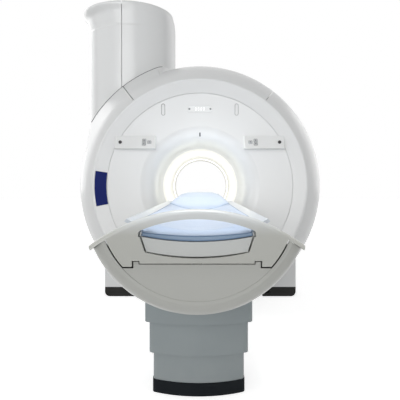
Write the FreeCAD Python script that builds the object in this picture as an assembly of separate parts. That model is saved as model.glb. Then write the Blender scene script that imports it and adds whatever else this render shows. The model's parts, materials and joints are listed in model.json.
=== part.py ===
import FreeCAD, Part
import math
import os

# A closed-bore MRI scanner: a round magnet housing with a service tower, and a patient table on a
# telescopic lift column. Millimetres. X is right and Y runs from the table into the bore as seen
# from the table's foot end, Z is up. The origin is on the floor under the isocentre.

V = FreeCAD.Vector

# Bore
AXIS_Z = 1000.0            # bore axis above the floor
BORE_R = 300.0             # inside radius of the patient bore
LINER_WALL = 6.0
LINER_HALF = 880.0         # half length of the bore liner
SKIN = 6.0                 # wall of the moulded covers
FIT = 0.3                  # clearance between seated pieces
SEAM = 4.0                 # open seam between neighbouring covers
FAR = 3000.0               # reach of a cutting shape, past anything that it cuts

# Magnet, all about the bore axis
COVER_R = 930.0            # outside of the round housing
COVER_GAP = 70.0           # from the vacuum vessel out to the housing's outside
VESSEL_R = COVER_R - COVER_GAP
VESSEL_BORE_R = 450.0
VESSEL_HALF = 790.0
VESSEL_WALL = 10.0
VESSEL_END = 16.0          # end plates of the vacuum vessel
SHIELD_GAP = 26.0          # vacuum space round the radiation shield
SHIELD_WALL = 4.0
COLD_GAP = 20.0            # vacuum space round the helium vessel
COLD_WALL = 8.0
COIL_PLACES = ((-560.0, 170.0), (-300.0, 120.0), (-100.0, 90.0),
               (100.0, 90.0), (300.0, 120.0), (560.0, 170.0))   # middle and width of each main winding
COIL_DEPTH = 62.0
SCREEN_COIL_Y = 540.0      # outer screening coils, either side
SCREEN_COIL_W = 90.0
SCREEN_COIL_DEPTH = 55.0
STRAP = (24.0, 60.0)       # section of a suspension strap
STRAP_R = 640.0
STRAP_ANGLES = (35.0, 145.0, 215.0, 325.0)

# Gradient coil, shim trays and transmit coil
GRADIENT_R = 440.0
GRADIENT_BORE_R = 350.0
GRADIENT_HALF = 640.0
SHIM_COUNT = 12
SHIM_SLOT = (40.0, 12.0)
SHIM_R = 396.0
RAIL_PAD = 70.0            # width of the pads that the gradient coil rests on
FORMER_BORE_R = 318.0
FORMER_WALL = 6.0
FORMER_HALF = 300.0
CONDUCTOR = 3.0
RUNG_COUNT = 16
RUNG_W = 16.0
END_RING_W = 40.0

# Front covers: radius and Y of the points that make the outside
SEAM_R = 677.0             # seam between the dish and the ring
CREST_R = 780.0            # front crest of the ring
SEAM_Y = -1235.0
LAP = 22.0                 # flange of the dish behind the ring, either side of the seam
LAP_T = 4.0
CREST_Y = -1250.0
SHOULDER_Y = -1050.0       # where the bevel meets the barrel
DISH_R = 440.0             # where the dish turns into the mouth of the bore
DISH_Y = -1215.0
MOUTH_PULL = ((52.0, 12.0), (6.0, 120.0))   # pulls of its curve: out from the bore, back from the dish
RING_BACK_Y = -800.0
RING_SPLIT = 52.3          # radial seams above the horizontal, in degrees
REAR_COVER_Y = 830.0
REAR_FACE_Y = 1100.0
REAR_ROUND = 155.0         # rounding between the rear face and the barrel
FUNNEL_R = 410.0           # flared mouth at the back of the bore
FUNNEL_L = REAR_FACE_Y - LINER_HALF
FUNNEL_FLAT = 10.0         # flat edge round the mouth
FUNNEL_TURN = 0.55         # how far back, and how far out, the pull of the mouth's curve lies
FUNNEL_PULL = 36.0
FUNNEL_LIP = 18.0
FUNNEL_WALL = 4.0

# Cover shoulder that runs up to the tower
RISE_STEP = 70.0           # its outer edge stands this far outside the housing
RISE_R = COVER_R + RISE_STEP
RISE_LEFT_X = -867.0
RISE_TURN = 110.0          # from this angle on its right end turns in, in a part cone
RISE_FRONT_Y = -945.0
RISE_BACK_Y = -868.0

# Docking bay under the bore, which the table rises and falls in
BAY_HALF = 275.0
BAY_FLOOR_Z = 400.0
BAY_BACK_Y = -892.0
BAY_TOP_Z = 892.0
GUIDE_HALF = 20.0          # upright rail in the bay that keeps the back of the table level
GUIDE_DEPTH = 17.0
GUIDE_TOP_Z = 696.0
GUIDE_FIT = 0.5
SHOE_Z = (630.0, 690.0)
SHOE_WALL = 14.0

# Side covers and feet
SKIRT_STEP = 65.0          # how far the skirts' sides stay inside the housing's outside
SKIRT_X = COVER_R - SKIRT_STEP
SKIRT_HALF = 450.0         # half length of skirts and feet
SKIRT_BOTTOM_Z = 85.0
SKIRT_W = 305.0            # from the skirt's side in to its inner wall
SKIRT_INNER_X = SKIRT_X - SKIRT_W
FOOT_W = 235.0             # from the foot's side in to the plinth's inner face and the flange's edge
FOOT_INNER_X = SKIRT_X - FOOT_W
FOOT_ROUND = 45.0
FLANGE_W = 65.0
FOOT_FLANGE_X = FOOT_INNER_X - FLANGE_W
FOOT_FLANGE_H = 30.0
FOOT_WEB = (65.0, 225.0)   # from the skirt's side in to the web's faces
FOOT_WEB_HALF = 380.0
ANCHOR_IN = 32.0           # from the flange's edge to the anchor holes
ANCHOR_X = FOOT_FLANGE_X + ANCHOR_IN
ANCHOR_Y = 350.0
ANCHOR_HOLE_R = 11.0
LUG_W = 80.0               # brackets that carry the side covers on the vessel
LUG_ANGLES = (30.0, 70.0)
LUG_PLACES = (-600.0, 600.0)

# Service tower
TOWER_X = -594.0
TOWER_Y = -550.0
TOWER_R = 374.0
TOWER_SPLIT_X = -627.0
TOWER_TOP_Z = 2480.0
TOWER_FLOOR_Z = 1330.0     # underside of the part that hangs outside the barrel
FLARE = ((-190.0, 0.0, 0.0), (-140.0, 0.5, 0.0), (-90.0, 8.0, -3.0), (-50.0, 26.0, -9.0),
         (-14.0, 50.0, -18.0), (0.0, 46.0, -22.0))   # from the tower's top: height, growth left and right
LID_DROP = (26.0, 20.0)    # faces of the lid below the rim
LID_HOLE_R = 108.0
TURRET_X = -470.0
TURRET_Y = -520.0
TURRET_R = 120.0
TURRET_FLANGE_R = 150.0
TURRET_TOP_Z = 2060.0
FLANGE_H = 24.0
QUENCH_R = 76.0
QUENCH_WALL = 4.0
QUENCH_DROP = 4.0          # top flange below the tower's rim
QUENCH_BOLT_R = 88.0
QUENCH_BOLTS = 8
QUENCH_HOLE_R = 4.5
QUENCH_FLANGE_R = 100.0
QUENCH_FLANGE_H = 14.0
COLD_HEAD_X = -735.0
COLD_HEAD_R = 62.0
COLD_HEAD_TOP_Z = 1990.0
COLD_HEAD_STEP_Z = 1700.0  # where the cold head narrows
COLD_HEAD_NECK_R = 48.0
COLD_DRUM_R = 58.0
COLD_DRUM_L = 160.0

# Control panels, plates and windows on the front
PANEL_IN_X = 320.0
PANEL_OUT_X = 615.0
PANEL_TOP_Z = 1365.0
PANEL_BOTTOM_Z = 1270.0
PANEL_TOP_Y = -1241.0
PANEL_PROUD = 34.0         # how far the lower edge stands in front of the upper
PANEL_CORNER = 10.0
KEY_SIZE = (24.0, 20.0)
KEY_HEIGHT = 14.0
KEY_PROUD = 4.0
KEY_GAP = 0.6
KEY_POCKET = 11.0
KEYS = (("key_up", 404.0, 13.5), ("key_down", 404.0, -13.5), ("key_travel", 366.0, 0.0))
STOP_X = 577.0
STOP_R = 12.0
STOP_PROUD = 7.0
DISPLAY = (180.0, 44.0)
DISPLAY_Z = 1563.0
DISPLAY_T = 5.0
SLOT_X = 268.0
SLOT_Z = 1558.0
SLOT = (22.0, 80.0)
SLOT_FLOOR_Y = -1227.6     # floor of the shallow slots
LASER = (10.0, 26.0)
LASER_Z = 1381.0
PLATE_ANGLES = (171.7, 191.1)
PLATE_T = 3.0
PLATE_LIFT = 0.8
LIGHT_W = 50.0             # light bands in the bore
LIGHT_Y = 505.0
LIGHT_T = 2.4

# Bridge in the bore that carries the tabletop
BRIDGE_TOP_Z = 764.0
RAIL_X = 100.0
RAIL_HALF_W = 12.0
RAIL_TOP_Z = 774.5

# Table end: circles in front view, given by centre height and radius
FRONT_Y = -3030.0
BOWL_Z = 950.0
BOWL_R = 380.0
RIM_R = 325.0              # thin seam of the end panel
BOWL_WALL = 5.0
BOWL_ROUND = 58.0          # how far the rounded front edge runs back
RIM_SET = 6.0              # the bowl's front edge lies this far behind the frame's face
PANEL_SET = 8.0            # and the end panel's face
BOWL_TIP = 22.1            # tips of the bowl below its centre, in degrees
ARCH_Z = 340.0
ARCH_R = 584.0
ARCH_BAND = 15.0           # top band of the handle over the bowl's tips
WINDOW_Z = 413.0
WINDOW_R = 480.0
WINDOW_HALF = 190.0
WINDOW_SILL_Z = 835.0
WINDOW_CORNER = 14.0
HANDLE_T = 46.0
HANDLE_ROUND = 14.0        # rounding of the arch's front edge
FRAME_GAP = 6.0            # open seam between the handle frame and the bowl's rim
GAP_Z = 749.8              # straight gap between the handle frame and the end panel
NOTCH = (185.5, 210.3)
NOTCH_TOP_Z = 758.5
FRAME_LOW_Z = 739.5
TABLE_BACK_Y = -1292.0

# Tabletop, mattress and head cushion
FOOT_Y = -3018.0
HEAD_Y = -912.0
TOP_BOTTOM_Z = 770.0
TOP_CORNER = (165.0, 787.0)
TOP_EDGE = (181.0, 835.0)
TOP_CENTRE_Z = 817.5       # the board's upper face sags to this between its edges
WING_Y = -2950.0           # foot ends of the raised wings
WING_TIP = (249.0, 880.0)
WING_TOP = (241.0, 888.0)
CRADLE_EDGE = (205.0, 872.0)
HEAD_ROUND = 110.0
MATTRESS_FOOT = (186.0, 186.0, 21.0, 15.0)   # half widths below and above, thickness in the middle
MATTRESS_CRADLE = (199.0, 196.0, 28.0, 20.0)   # and at the sides
PAD_LIFT = 0.6             # soft pads stay this far off what they lie on
MATTRESS_HEAD_Y = -926.0
CUSHION_BASE_HALF = 196.0
CUSHION_TOE = 5.0          # thickness at its foot end
CUSHION_STEPS = ((-1640.0, 188.0, 0.0), (-1130.0, 138.0, 942.0), (-940.0, 124.0, 947.0))
                           # along the cushion: Y, half width and height of its upper edges
CUSHION_CROWN = 5.0

# Table frame, deck and drive
BEAM_HALF = 150.0
BEAM_Z = (625.0, 755.0)
BEAM_WALL = 8.0
BEAM_SLOT = 40.0
BEAM_FRONT_Y = -2962.0
BEAM_BACK_Y = -940.0
DECK_Z = 806.0
DECK_T = 5.0
DECK_IN = 190.0
DECK_EDGE = 8.0            # from the bowl's tips in to the deck's outer edges
DECK_GAP = 8.0             # from the tabletop's sides out to the trough's
DECK_FOOT = 26.0
PEDESTAL = (115.0, 180.0)
PULLEY_R = 28.0
PULLEY_W = 38.0
PULLEY_Z = 700.0
SHAFT_R = 9.0
DRIVE_Y = -1060.0
IDLER_Y = -2900.0
BELT_T = 3.0
BELT_W = 34.0
MOTOR_R = 38.0
MOTOR_L = 100.0
CLAMP_Y = (-2865.0, -2805.0)
CLAMP_HALF = 14.0

# Lift column: half width and front Y of each stage
COLUMN_Y = -2160.0
STAGE_HALF = (258.6, 239.6, 221.2)
STAGE_FRONT = (230.0, 211.0, 193.0)
STAGE_BOTTOM = (350.0, 197.5, 63.0)
STAGE_TOP = (0.0, 430.0, 310.0)
STAGE_WALL = 5.0
STAGE_BOW = 52.0
STAGE_CORNER = 24.0
LIP_H = 14.0
SLIDE_FIT = 0.4
TOP_PLATE_Z = (553.0, 568.0)
BASE_H = 63.0
CYLINDER_R = 64.0
CYLINDER_TOP_Z = 322.0
RAM_R = 54.0
RAM_BOTTOM_Z = 240.0
BASE_ANCHOR = (150.0, 130.0)


def steps_edges(place, steps):
    """Edges through the steps: a pair is a straight run, two pairs an arc, three a curve."""
    edges = []
    here = place(*steps[0])
    for step in list(steps[1:]) + [steps[0]]:
        if isinstance(step[0], tuple):
            points = [here] + [place(*p) for p in step]
            if len(step) == 2:
                edges.append(Part.Arc(*points).toShape())
            else:
                curve = Part.BezierCurve()
                curve.setPoles(points)
                edges.append(curve.toShape())
            here = points[-1]
        else:
            there = place(*step)
            if (there - here).Length > 1e-6:
                edges.append(Part.LineSegment(here, there).toShape())
            here = there
    return edges


def face_of(place, steps):
    return Part.Face(Part.Wire(steps_edges(place, steps)))


def prism(steps, front, back):
    """A front-view outline, run along the bore from front to back."""
    return face_of(lambda x, z: V(x, front, z), steps).extrude(V(0, back - front, 0))


def upright(steps, bottom, top):
    """A plan outline, run upwards."""
    return face_of(lambda x, y: V(x, y, bottom), steps).extrude(V(0, 0, top - bottom))


def turned(steps, centre_z=AXIS_Z, start=0.0, sweep=360.0):
    """A radius-and-Y outline, turned about a line along Y. Angles run from +X towards +Z."""
    face = face_of(lambda r, y: V(r, y, centre_z), steps)
    face.rotate(V(0, 0, centre_z), V(0, -1, 0), start)
    return face.revolve(V(0, 0, centre_z), V(0, -1, 0), sweep)


def box(x0, x1, y0, y1, z0, z1):
    return Part.makeBox(x1 - x0, y1 - y0, z1 - z0, V(x0, y0, z0))


def bar(radius, x, y, z, length, way=V(0, 0, 1)):
    return Part.makeCylinder(radius, length, V(x, y, z), way)


def tube(outer, inner, front, back):
    return turned([(inner, front), (outer, front), (outer, back), (inner, back)])


def disc(radius, front, back, centre_z=AXIS_Z):
    return bar(radius, 0, front, centre_z, back - front, V(0, 1, 0))


def round_box(half_x, half_z, x, z, corner, front, back):
    """A slab along Y with round corners in front view."""
    solid = box(x - half_x, x + half_x, front, back, z - half_z, z + half_z)
    edges = [e for e in solid.Edges if abs(e.tangentAt(e.FirstParameter).y) > 0.9]
    return solid.makeFillet(corner, edges)


def fuse(shapes):
    whole = shapes[0].multiFuse(shapes[1:]) if len(shapes) > 1 else shapes[0]
    return whole.removeSplitter()


def mirrored(shape):
    return shape.mirror(V(0, 0, 0), V(1, 0, 0))


def chord(radius, centre_z, x):
    """Lower Z of a circle at a given X."""
    return centre_z - math.sqrt(radius ** 2 - x ** 2)


def crown(radius, centre_z, x):
    return centre_z + math.sqrt(radius ** 2 - x ** 2)


# Magnet ---------------------------------------------------------------------------------------

def hollow_ring(outer, inner, half, wall, end):
    shell = tube(outer, inner, -half, half)
    return shell.cut(tube(outer - wall, inner + wall, -half + end, half - end))


def cold_sizes():
    """Outer radius, bore radius and half length of the shield and of the helium vessel."""
    shield = (VESSEL_R - VESSEL_WALL - SHIELD_GAP, VESSEL_BORE_R + VESSEL_WALL + SHIELD_GAP,
              VESSEL_HALF - VESSEL_END - SHIELD_GAP)
    step = SHIELD_WALL + COLD_GAP
    return shield, (shield[0] - step, shield[1] + step, shield[2] - step)


def suspension_straps():
    cold_half = cold_sizes()[1][2]
    length = VESSEL_HALF - VESSEL_END - cold_half
    straps = []
    for side in (-1, 1):
        for angle in STRAP_ANGLES:
            x = STRAP_R * math.cos(math.radians(angle))
            z = AXIS_Z + STRAP_R * math.sin(math.radians(angle))
            front = cold_half if side > 0 else -cold_half - length
            straps.append(box(x - STRAP[0] / 2, x + STRAP[0] / 2, front, front + length,
                              z - STRAP[1] / 2, z + STRAP[1] / 2))
    return Part.makeCompound(straps)


def vacuum_vessel():
    return hollow_ring(VESSEL_R, VESSEL_BORE_R, VESSEL_HALF, VESSEL_WALL, VESSEL_END)


def radiation_shield():
    outer, inner, half = cold_sizes()[0]
    return hollow_ring(outer, inner, half, SHIELD_WALL, SHIELD_WALL).cut(suspension_straps())


def helium_vessel():
    outer, inner, half = cold_sizes()[1]
    return hollow_ring(outer, inner, half, COLD_WALL, COLD_WALL)


def magnet_coils():
    """Six main windings on the vessel's bore and two screening windings under its outer wall."""
    inner = cold_sizes()[1][1] + COLD_WALL + FIT
    outer = cold_sizes()[1][0] - COLD_WALL - FIT
    main_ones = [tube(inner + COIL_DEPTH, inner, y - w / 2, y + w / 2) for y, w in COIL_PLACES]
    half = SCREEN_COIL_W / 2
    screens = [tube(outer, outer - SCREEN_COIL_DEPTH, y - half, y + half)
               for y in (-SCREEN_COIL_Y, SCREEN_COIL_Y)]
    return Part.makeCompound(main_ones + screens)


def around(shape, angle):
    """A copy turned about the bore axis, from +X towards +Z."""
    copy = shape.copy()
    copy.rotate(V(0, 0, AXIS_Z), V(0, -1, 0), angle)
    return copy


def shim_bars(width, depth, half):
    one = box(SHIM_R - depth / 2, SHIM_R + depth / 2, -half, half, AXIS_Z - width / 2, AXIS_Z + width / 2)
    return Part.makeCompound([around(one, 360.0 * n / SHIM_COUNT) for n in range(SHIM_COUNT)])


def gradient_coil():
    body = tube(GRADIENT_R, GRADIENT_BORE_R, -GRADIENT_HALF, GRADIENT_HALF)
    pad = box(GRADIENT_R - 6, VESSEL_BORE_R - FIT - 1.5, -GRADIENT_HALF, GRADIENT_HALF,
              AXIS_Z - RAIL_PAD / 2, AXIS_Z + RAIL_PAD / 2)
    pads = [around(pad, angle) for angle in (225.0, 315.0)]
    return fuse([body] + pads).cut(shim_bars(SHIM_SLOT[0], SHIM_SLOT[1], GRADIENT_HALF + 1))


def shim_trays():
    return shim_bars(SHIM_SLOT[0] - 2 * FIT, SHIM_SLOT[1] - 2 * FIT, GRADIENT_HALF - 2)


def body_coil():
    """Former with two end rings and rungs of copper foil, on two spacer rings round the liner."""
    outer = FORMER_BORE_R + FORMER_WALL
    pieces = [tube(outer, FORMER_BORE_R, -FORMER_HALF, FORMER_HALF)]
    for side in (-1, 1):
        middle = side * (FORMER_HALF - END_RING_W)
        pieces.append(tube(outer + CONDUCTOR, outer - 1, middle - END_RING_W / 2, middle + END_RING_W / 2))
        quarter = END_RING_W / 4
        edge = side * (FORMER_HALF - quarter)
        pieces.append(tube(FORMER_BORE_R + 1, BORE_R + LINER_WALL + FIT, edge - quarter, edge + quarter))
    rung = box(outer - 1, outer + CONDUCTOR, -FORMER_HALF + END_RING_W, FORMER_HALF - END_RING_W,
               AXIS_Z - RUNG_W / 2, AXIS_Z + RUNG_W / 2)
    pieces += [around(rung, 360.0 * (n + 0.5) / RUNG_COUNT) for n in range(RUNG_COUNT)]
    return fuse(pieces)


def bore_liner():
    return tube(BORE_R + LINER_WALL, BORE_R, -LINER_HALF, LINER_HALF)


def light_strips():
    start = math.degrees(math.asin((BRIDGE_TOP_Z + 40.0 - AXIS_Z) / BORE_R))
    bands = []
    for y in (-LIGHT_Y, LIGHT_Y):
        outer = BORE_R - FIT
        bands.append(turned([(outer - LIGHT_T, y - LIGHT_W / 2), (outer, y - LIGHT_W / 2),
                             (outer, y + LIGHT_W / 2), (outer - LIGHT_T, y + LIGHT_W / 2)],
                            AXIS_Z, start, 180.0 - 2 * start))
    return Part.makeCompound(bands)


def bore_bridge():
    """Flat-topped floor of the bore with two rails that the tabletop rides on."""
    radius = BORE_R - FIT
    half = math.sqrt(radius ** 2 - (AXIS_Z - BRIDGE_TOP_Z) ** 2)
    outline = [(-half, BRIDGE_TOP_Z), ((0, AXIS_Z - radius), (half, BRIDGE_TOP_Z))]
    floor = prism(outline, -LINER_HALF, LINER_HALF)
    rails = [box(x - RAIL_HALF_W, x + RAIL_HALF_W, -LINER_HALF, LINER_HALF, BRIDGE_TOP_Z - 1, RAIL_TOP_Z)
             for x in (-RAIL_X, RAIL_X)]
    return fuse([floor] + rails)


# Front and rear covers ------------------------------------------------------------------------

def dish_steps(inset, edge):
    """Front face of the dish, from the seam to the bore, moved back by inset."""
    pulls = [(BORE_R + out + inset, DISH_Y + back + inset) for out, back in MOUTH_PULL]
    return [(SEAM_R - edge, SEAM_Y + inset), (DISH_R, DISH_Y + inset),
            (pulls[0], pulls[1], (BORE_R + inset, -LINER_HALF))]


def turned_back(steps):
    """The same face from the bore to the seam."""
    rim, flat, (pull, last_pull, end) = steps
    return [end, (last_pull, pull, flat), rim]


def dish_skin():
    return turned(dish_steps(0.0, SEAM / 2) + turned_back(dish_steps(SKIN, SEAM / 2)))


def ring_steps(inset):
    """Face, crest and bevel of the ring, moved back and in by inset."""
    return [(SEAM_R + SEAM / 2, SEAM_Y + inset), (CREST_R - 14, CREST_Y + 1.5 + inset),
            ((CREST_R, CREST_Y + 0.5 + inset), (CREST_R + 11 - inset / 2, CREST_Y + 9 + inset)),
            ((COVER_R - 45 - inset, SHOULDER_Y - 78 + inset / 2), (COVER_R - inset, SHOULDER_Y + 25)),
            (COVER_R - inset, RING_BACK_Y - FIT)]


def ring_bevel(start, sweep):
    """Bevel and barrel of the ring, from the hoop's edge."""
    outer = ring_steps(0.0)
    inner = ring_steps(SKIN)
    return turned([outer[2][1]] + outer[3:] + [inner[4], inner[3][1], (inner[3][0], inner[2][1])],
                  AXIS_Z, start, sweep)


def ring_hoop():
    """Front hoop with the crest, one piece all round."""
    outer = ring_steps(0.0)
    inner = ring_steps(SKIN)
    return turned(outer[:3] + [inner[2][1], (inner[2][0], inner[1]), inner[0]])


def front_envelope():
    """Everything behind the front face, as a solid of revolution."""
    ring = ring_steps(0.0)
    steps = [(0.0, -LINER_HALF)] + turned_back(dish_steps(-FIT, 0.0))
    grown = [(r, y - FIT) for r, y in (ring[1], ring[2][0], ring[2][1])]
    return turned(steps + [grown[0], (grown[1], grown[2]), (COVER_R, SHOULDER_Y), (COVER_R, RING_BACK_Y),
                           (0.0, RING_BACK_Y)])


def bay_space(grow, top):
    return box(-BAY_HALF - grow, BAY_HALF + grow, SEAM_Y - 60, BAY_BACK_Y + 40, BAY_FLOOR_Z - grow, top)


def slot_space(x):
    wide, high = SLOT
    return round_box(wide / 2, high / 2, x, SLOT_Z, wide / 2 - 0.5, SEAM_Y - 40, SLOT_FLOOR_Y)


def laser_space(grow):
    half_w = LASER[0] / 2 + grow
    half_h = LASER[1] / 2 + grow
    return box(-half_w, half_w, SEAM_Y - LAP, SEAM_Y + FAR / 10, LASER_Z - half_h, LASER_Z + half_h)


def display_space(grow, front, back):
    return round_box(DISPLAY[0] / 2 + grow, DISPLAY[1] / 2 + grow, 0.0, DISPLAY_Z, 8.0, front, back)


def front_dish():
    lap_y = SEAM_Y + SKIN + FIT
    lap = turned([(SEAM_R - LAP, lap_y - 2), (SEAM_R - LAP, lap_y + LAP_T), (SEAM_R + LAP, lap_y + LAP_T),
                  (SEAM_R + LAP, lap_y), (SEAM_R - SEAM, lap_y)])
    dish = dish_skin().fuse(lap)
    holes = [bay_space(SKIN, BAY_TOP_Z), laser_space(FIT), display_space(FIT, SEAM_Y - 40, SEAM_Y + 60)]
    holes += [slot_space(x) for x in (-SLOT_X, SLOT_X)]
    return dish.cut(Part.makeCompound(holes))


def laser_window():
    return dish_skin().common(laser_space(0.0))


def display_window():
    face_y = SEAM_Y + 8.0
    return display_space(0.0, face_y, face_y + DISPLAY_T)


def docking_bay():
    """Moulded recess with back, side walls and floor, trimmed to the front face, and its guide rail."""
    half = BAY_HALF + SKIN - FIT
    outer = box(-half, half, SEAM_Y - 40, BAY_BACK_Y + SKIN, BAY_FLOOR_Z - SKIN + FIT, BAY_TOP_Z - 1)
    inner = box(-BAY_HALF, BAY_HALF, SEAM_Y - 50, BAY_BACK_Y, BAY_FLOOR_Z, BAY_TOP_Z + 10)
    tray = outer.cut(inner).cut(disc(BORE_R, SEAM_Y - 50, BAY_BACK_Y + 50))
    guide = box(-GUIDE_HALF, GUIDE_HALF, BAY_BACK_Y - GUIDE_DEPTH, BAY_BACK_Y + 1,
                BAY_FLOOR_Z - 1, GUIDE_TOP_Z)
    return fuse([tray.common(front_envelope()), guide])


def rise():
    """Shoulder that carries the bevel on to the tower, closed at its right end by a part cone."""
    middle_r, middle_y = ring_steps(0.0)[3][0]
    barrel_r = COVER_R - SKIN / 2
    whole = turned([(middle_r, middle_y), (RISE_R, RISE_FRONT_Y), (RISE_R, RISE_BACK_Y),
                    (barrel_r, RISE_BACK_Y), (barrel_r, SHOULDER_Y + 20)], AXIS_Z, 90.0, 75.0)
    turn = math.radians(RISE_TURN)
    round_r = RISE_R - middle_r
    end = turned([(0.0, middle_y), (round_r, RISE_FRONT_Y), (round_r, RISE_BACK_Y), (0.0, RISE_BACK_Y)],
                 AXIS_Z + middle_r * math.sin(turn), 0.0, RISE_TURN)
    end.translate(V(middle_r * math.cos(turn), 0, 0))
    left = around(box(0, FAR, -FAR, 0, AXIS_Z, AXIS_Z + FAR), RISE_TURN)
    side = box(RISE_LEFT_X, 0, -FAR, 0, 0, FAR)
    return fuse([whole.common(left).common(side), whole.common(end)])


def seam_wedge(angle):
    """Thin slot through the bevel along a radial seam."""
    slot = box(CREST_R, RISE_R + 20, CREST_Y - 20, RING_BACK_Y + 1, AXIS_Z - SEAM / 2, AXIS_Z + SEAM / 2)
    return around(slot, angle)


def ring_top_cover():
    """Front hoop with the bevel over the top, between the radial seams."""
    whole = fuse([ring_bevel(RING_SPLIT, 180.0 - 2 * RING_SPLIT), rise()])
    left = around(box(0, FAR, -FAR, 0, AXIS_Z, AXIS_Z + FAR), 180.0 - RING_SPLIT)
    bevel = whole.cut(left).cut(Part.makeCompound([seam_wedge(RING_SPLIT), seam_wedge(180.0 - RING_SPLIT)]))
    return fuse([ring_hoop(), bevel])


def outside_hoop(cover, seams):
    """A side cover of the ring, clear of the hoop and of its seams."""
    hoop_r = ring_steps(0.0)[2][1][0]
    return cover.cut(disc(hoop_r + FIT, -FAR, 0)).cut(Part.makeCompound([seam_wedge(a) for a in seams]))


def ring_left_cover():
    whole = fuse([ring_bevel(180.0 - RING_SPLIT, 90.0 + RING_SPLIT), rise()])
    right = around(box(0, FAR, -FAR, 0, AXIS_Z - FAR, AXIS_Z), 180.0 - RING_SPLIT)
    return outside_hoop(whole.cut(right), (270.0, 180.0 - RING_SPLIT))


def ring_right_cover():
    return outside_hoop(ring_bevel(-90.0, 90.0 + RING_SPLIT), (270.0, RING_SPLIT))


def rear_cover():
    """Dished rear cover, open round the funnel."""
    edge_y = REAR_FACE_Y - REAR_ROUND
    rim_y = REAR_COVER_Y + FIT
    pull = REAR_ROUND * (1 - math.sqrt(0.5))
    outer = [(FUNNEL_R + SEAM, REAR_FACE_Y), (COVER_R - REAR_ROUND, REAR_FACE_Y),
             ((COVER_R - pull, REAR_FACE_Y - pull), (COVER_R, edge_y)), (COVER_R, rim_y)]
    pull += SKIN * math.sqrt(0.5)
    inner = [(COVER_R - SKIN, rim_y), (COVER_R - SKIN, edge_y),
             ((COVER_R - pull, REAR_FACE_Y - pull), (COVER_R - REAR_ROUND, REAR_FACE_Y - SKIN)),
             (FUNNEL_R + SEAM, REAR_FACE_Y - SKIN)]
    return turned(outer + inner)


def rear_funnel():
    """Flared mouth at the back of the bore, with a lip behind the rear cover."""
    front_y = LINER_HALF + FIT
    seat_y = REAR_FACE_Y - SKIN - FIT
    back_y = seat_y - FUNNEL_WALL
    lip_r = FUNNEL_R + FUNNEL_LIP
    flat_r = FUNNEL_R - FUNNEL_FLAT
    turn_y = LINER_HALF + FUNNEL_L * FUNNEL_TURN
    mouth = ((BORE_R, turn_y), (BORE_R + FUNNEL_PULL, REAR_FACE_Y), (flat_r, REAR_FACE_Y))
    outer_r = BORE_R + SKIN
    behind = ((outer_r + FUNNEL_PULL, back_y), (outer_r, turn_y - SKIN), (outer_r, front_y))
    return turned([(BORE_R, front_y), mouth, (FUNNEL_R, REAR_FACE_Y), (FUNNEL_R, seat_y), (lip_r, seat_y),
                   (lip_r, back_y), (flat_r, back_y), behind])


def skirt_block(inset):
    """Squared lower corner of the housing on the left, down to the foot."""
    bottom = SKIRT_BOTTOM_Z - (1 if inset else 0)
    return box(-SKIRT_X + inset, -SKIRT_INNER_X - inset, -SKIRT_HALF + inset, SKIRT_HALF - inset, bottom,
               chord(COVER_R, AXIS_Z, SKIRT_X))


def left_side_cover():
    """Half barrel with its squared skirt, open below over the foot, on brackets to the vessel."""
    barrel = turned([(COVER_R - SKIN, RING_BACK_Y), (COVER_R, RING_BACK_Y), (COVER_R, REAR_COVER_Y),
                     (COVER_R - SKIN, REAR_COVER_Y)], AXIS_Z, 90.0, 180.0)
    core = disc(COVER_R - 1, -FAR, FAR)
    cover = fuse([barrel, skirt_block(0.0).cut(core)]).cut(skirt_block(SKIN))
    lugs = []
    for angle in LUG_ANGLES:
        for y in LUG_PLACES:
            for side in (1, -1):
                lug = box(VESSEL_R - 20, COVER_R - 1, y - LUG_W / 2, y + LUG_W / 2, AXIS_Z - 4, AXIS_Z + 4)
                lugs.append(around(lug, 180.0 + side * angle))
    cover = fuse([cover] + [lug.cut(disc(VESSEL_R + FIT, -FAR, FAR)) for lug in lugs])
    seam = box(-SEAM / 2, SKIRT_X, -FAR, FAR, 0, 2 * AXIS_Z)
    return cover.cut(seam)


def left_foot():
    """Black plinth with an anchor flange, and the web inside the skirt that carries the vessel."""
    x = -SKIRT_X
    pull = FOOT_ROUND * (1 - math.sqrt(0.5))
    plinth = prism([(x, SKIRT_BOTTOM_Z - FIT), (x, FOOT_ROUND), ((x + pull, pull), (x + FOOT_ROUND, 0.0)),
                    (-FOOT_FLANGE_X, 0.0), (-FOOT_FLANGE_X, FOOT_FLANGE_H), (-FOOT_INNER_X, FOOT_FLANGE_H),
                    (-FOOT_INNER_X, SKIRT_BOTTOM_Z - FIT)], -SKIRT_HALF, SKIRT_HALF)
    web = box(x + FOOT_WEB[0], x + FOOT_WEB[1], -FOOT_WEB_HALF, FOOT_WEB_HALF, SKIRT_BOTTOM_Z - 2, AXIS_Z)
    foot = fuse([plinth, web.cut(disc(VESSEL_R + FIT, -FAR, FAR))])
    holes = [bar(ANCHOR_HOLE_R, -ANCHOR_X, y, -1, SKIRT_BOTTOM_Z) for y in (-ANCHOR_Y, ANCHOR_Y)]
    return foot.cut(Part.makeCompound(holes))


# Tower ----------------------------------------------------------------------------------------

def flare(inset):
    """Top of the tower as a solid, which leans outwards to the left."""
    circles = []
    for rise_z, left, right in FLARE:
        centre = V(TOWER_X - (left - right) / 2, TOWER_Y, TOWER_TOP_Z + rise_z)
        circle = Part.Circle(centre, V(0, 0, 1), TOWER_R + (left + right) / 2 - inset)
        circles.append(Part.Wire(circle.toShape()))
    return Part.makeLoft(circles, True, False)


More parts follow.
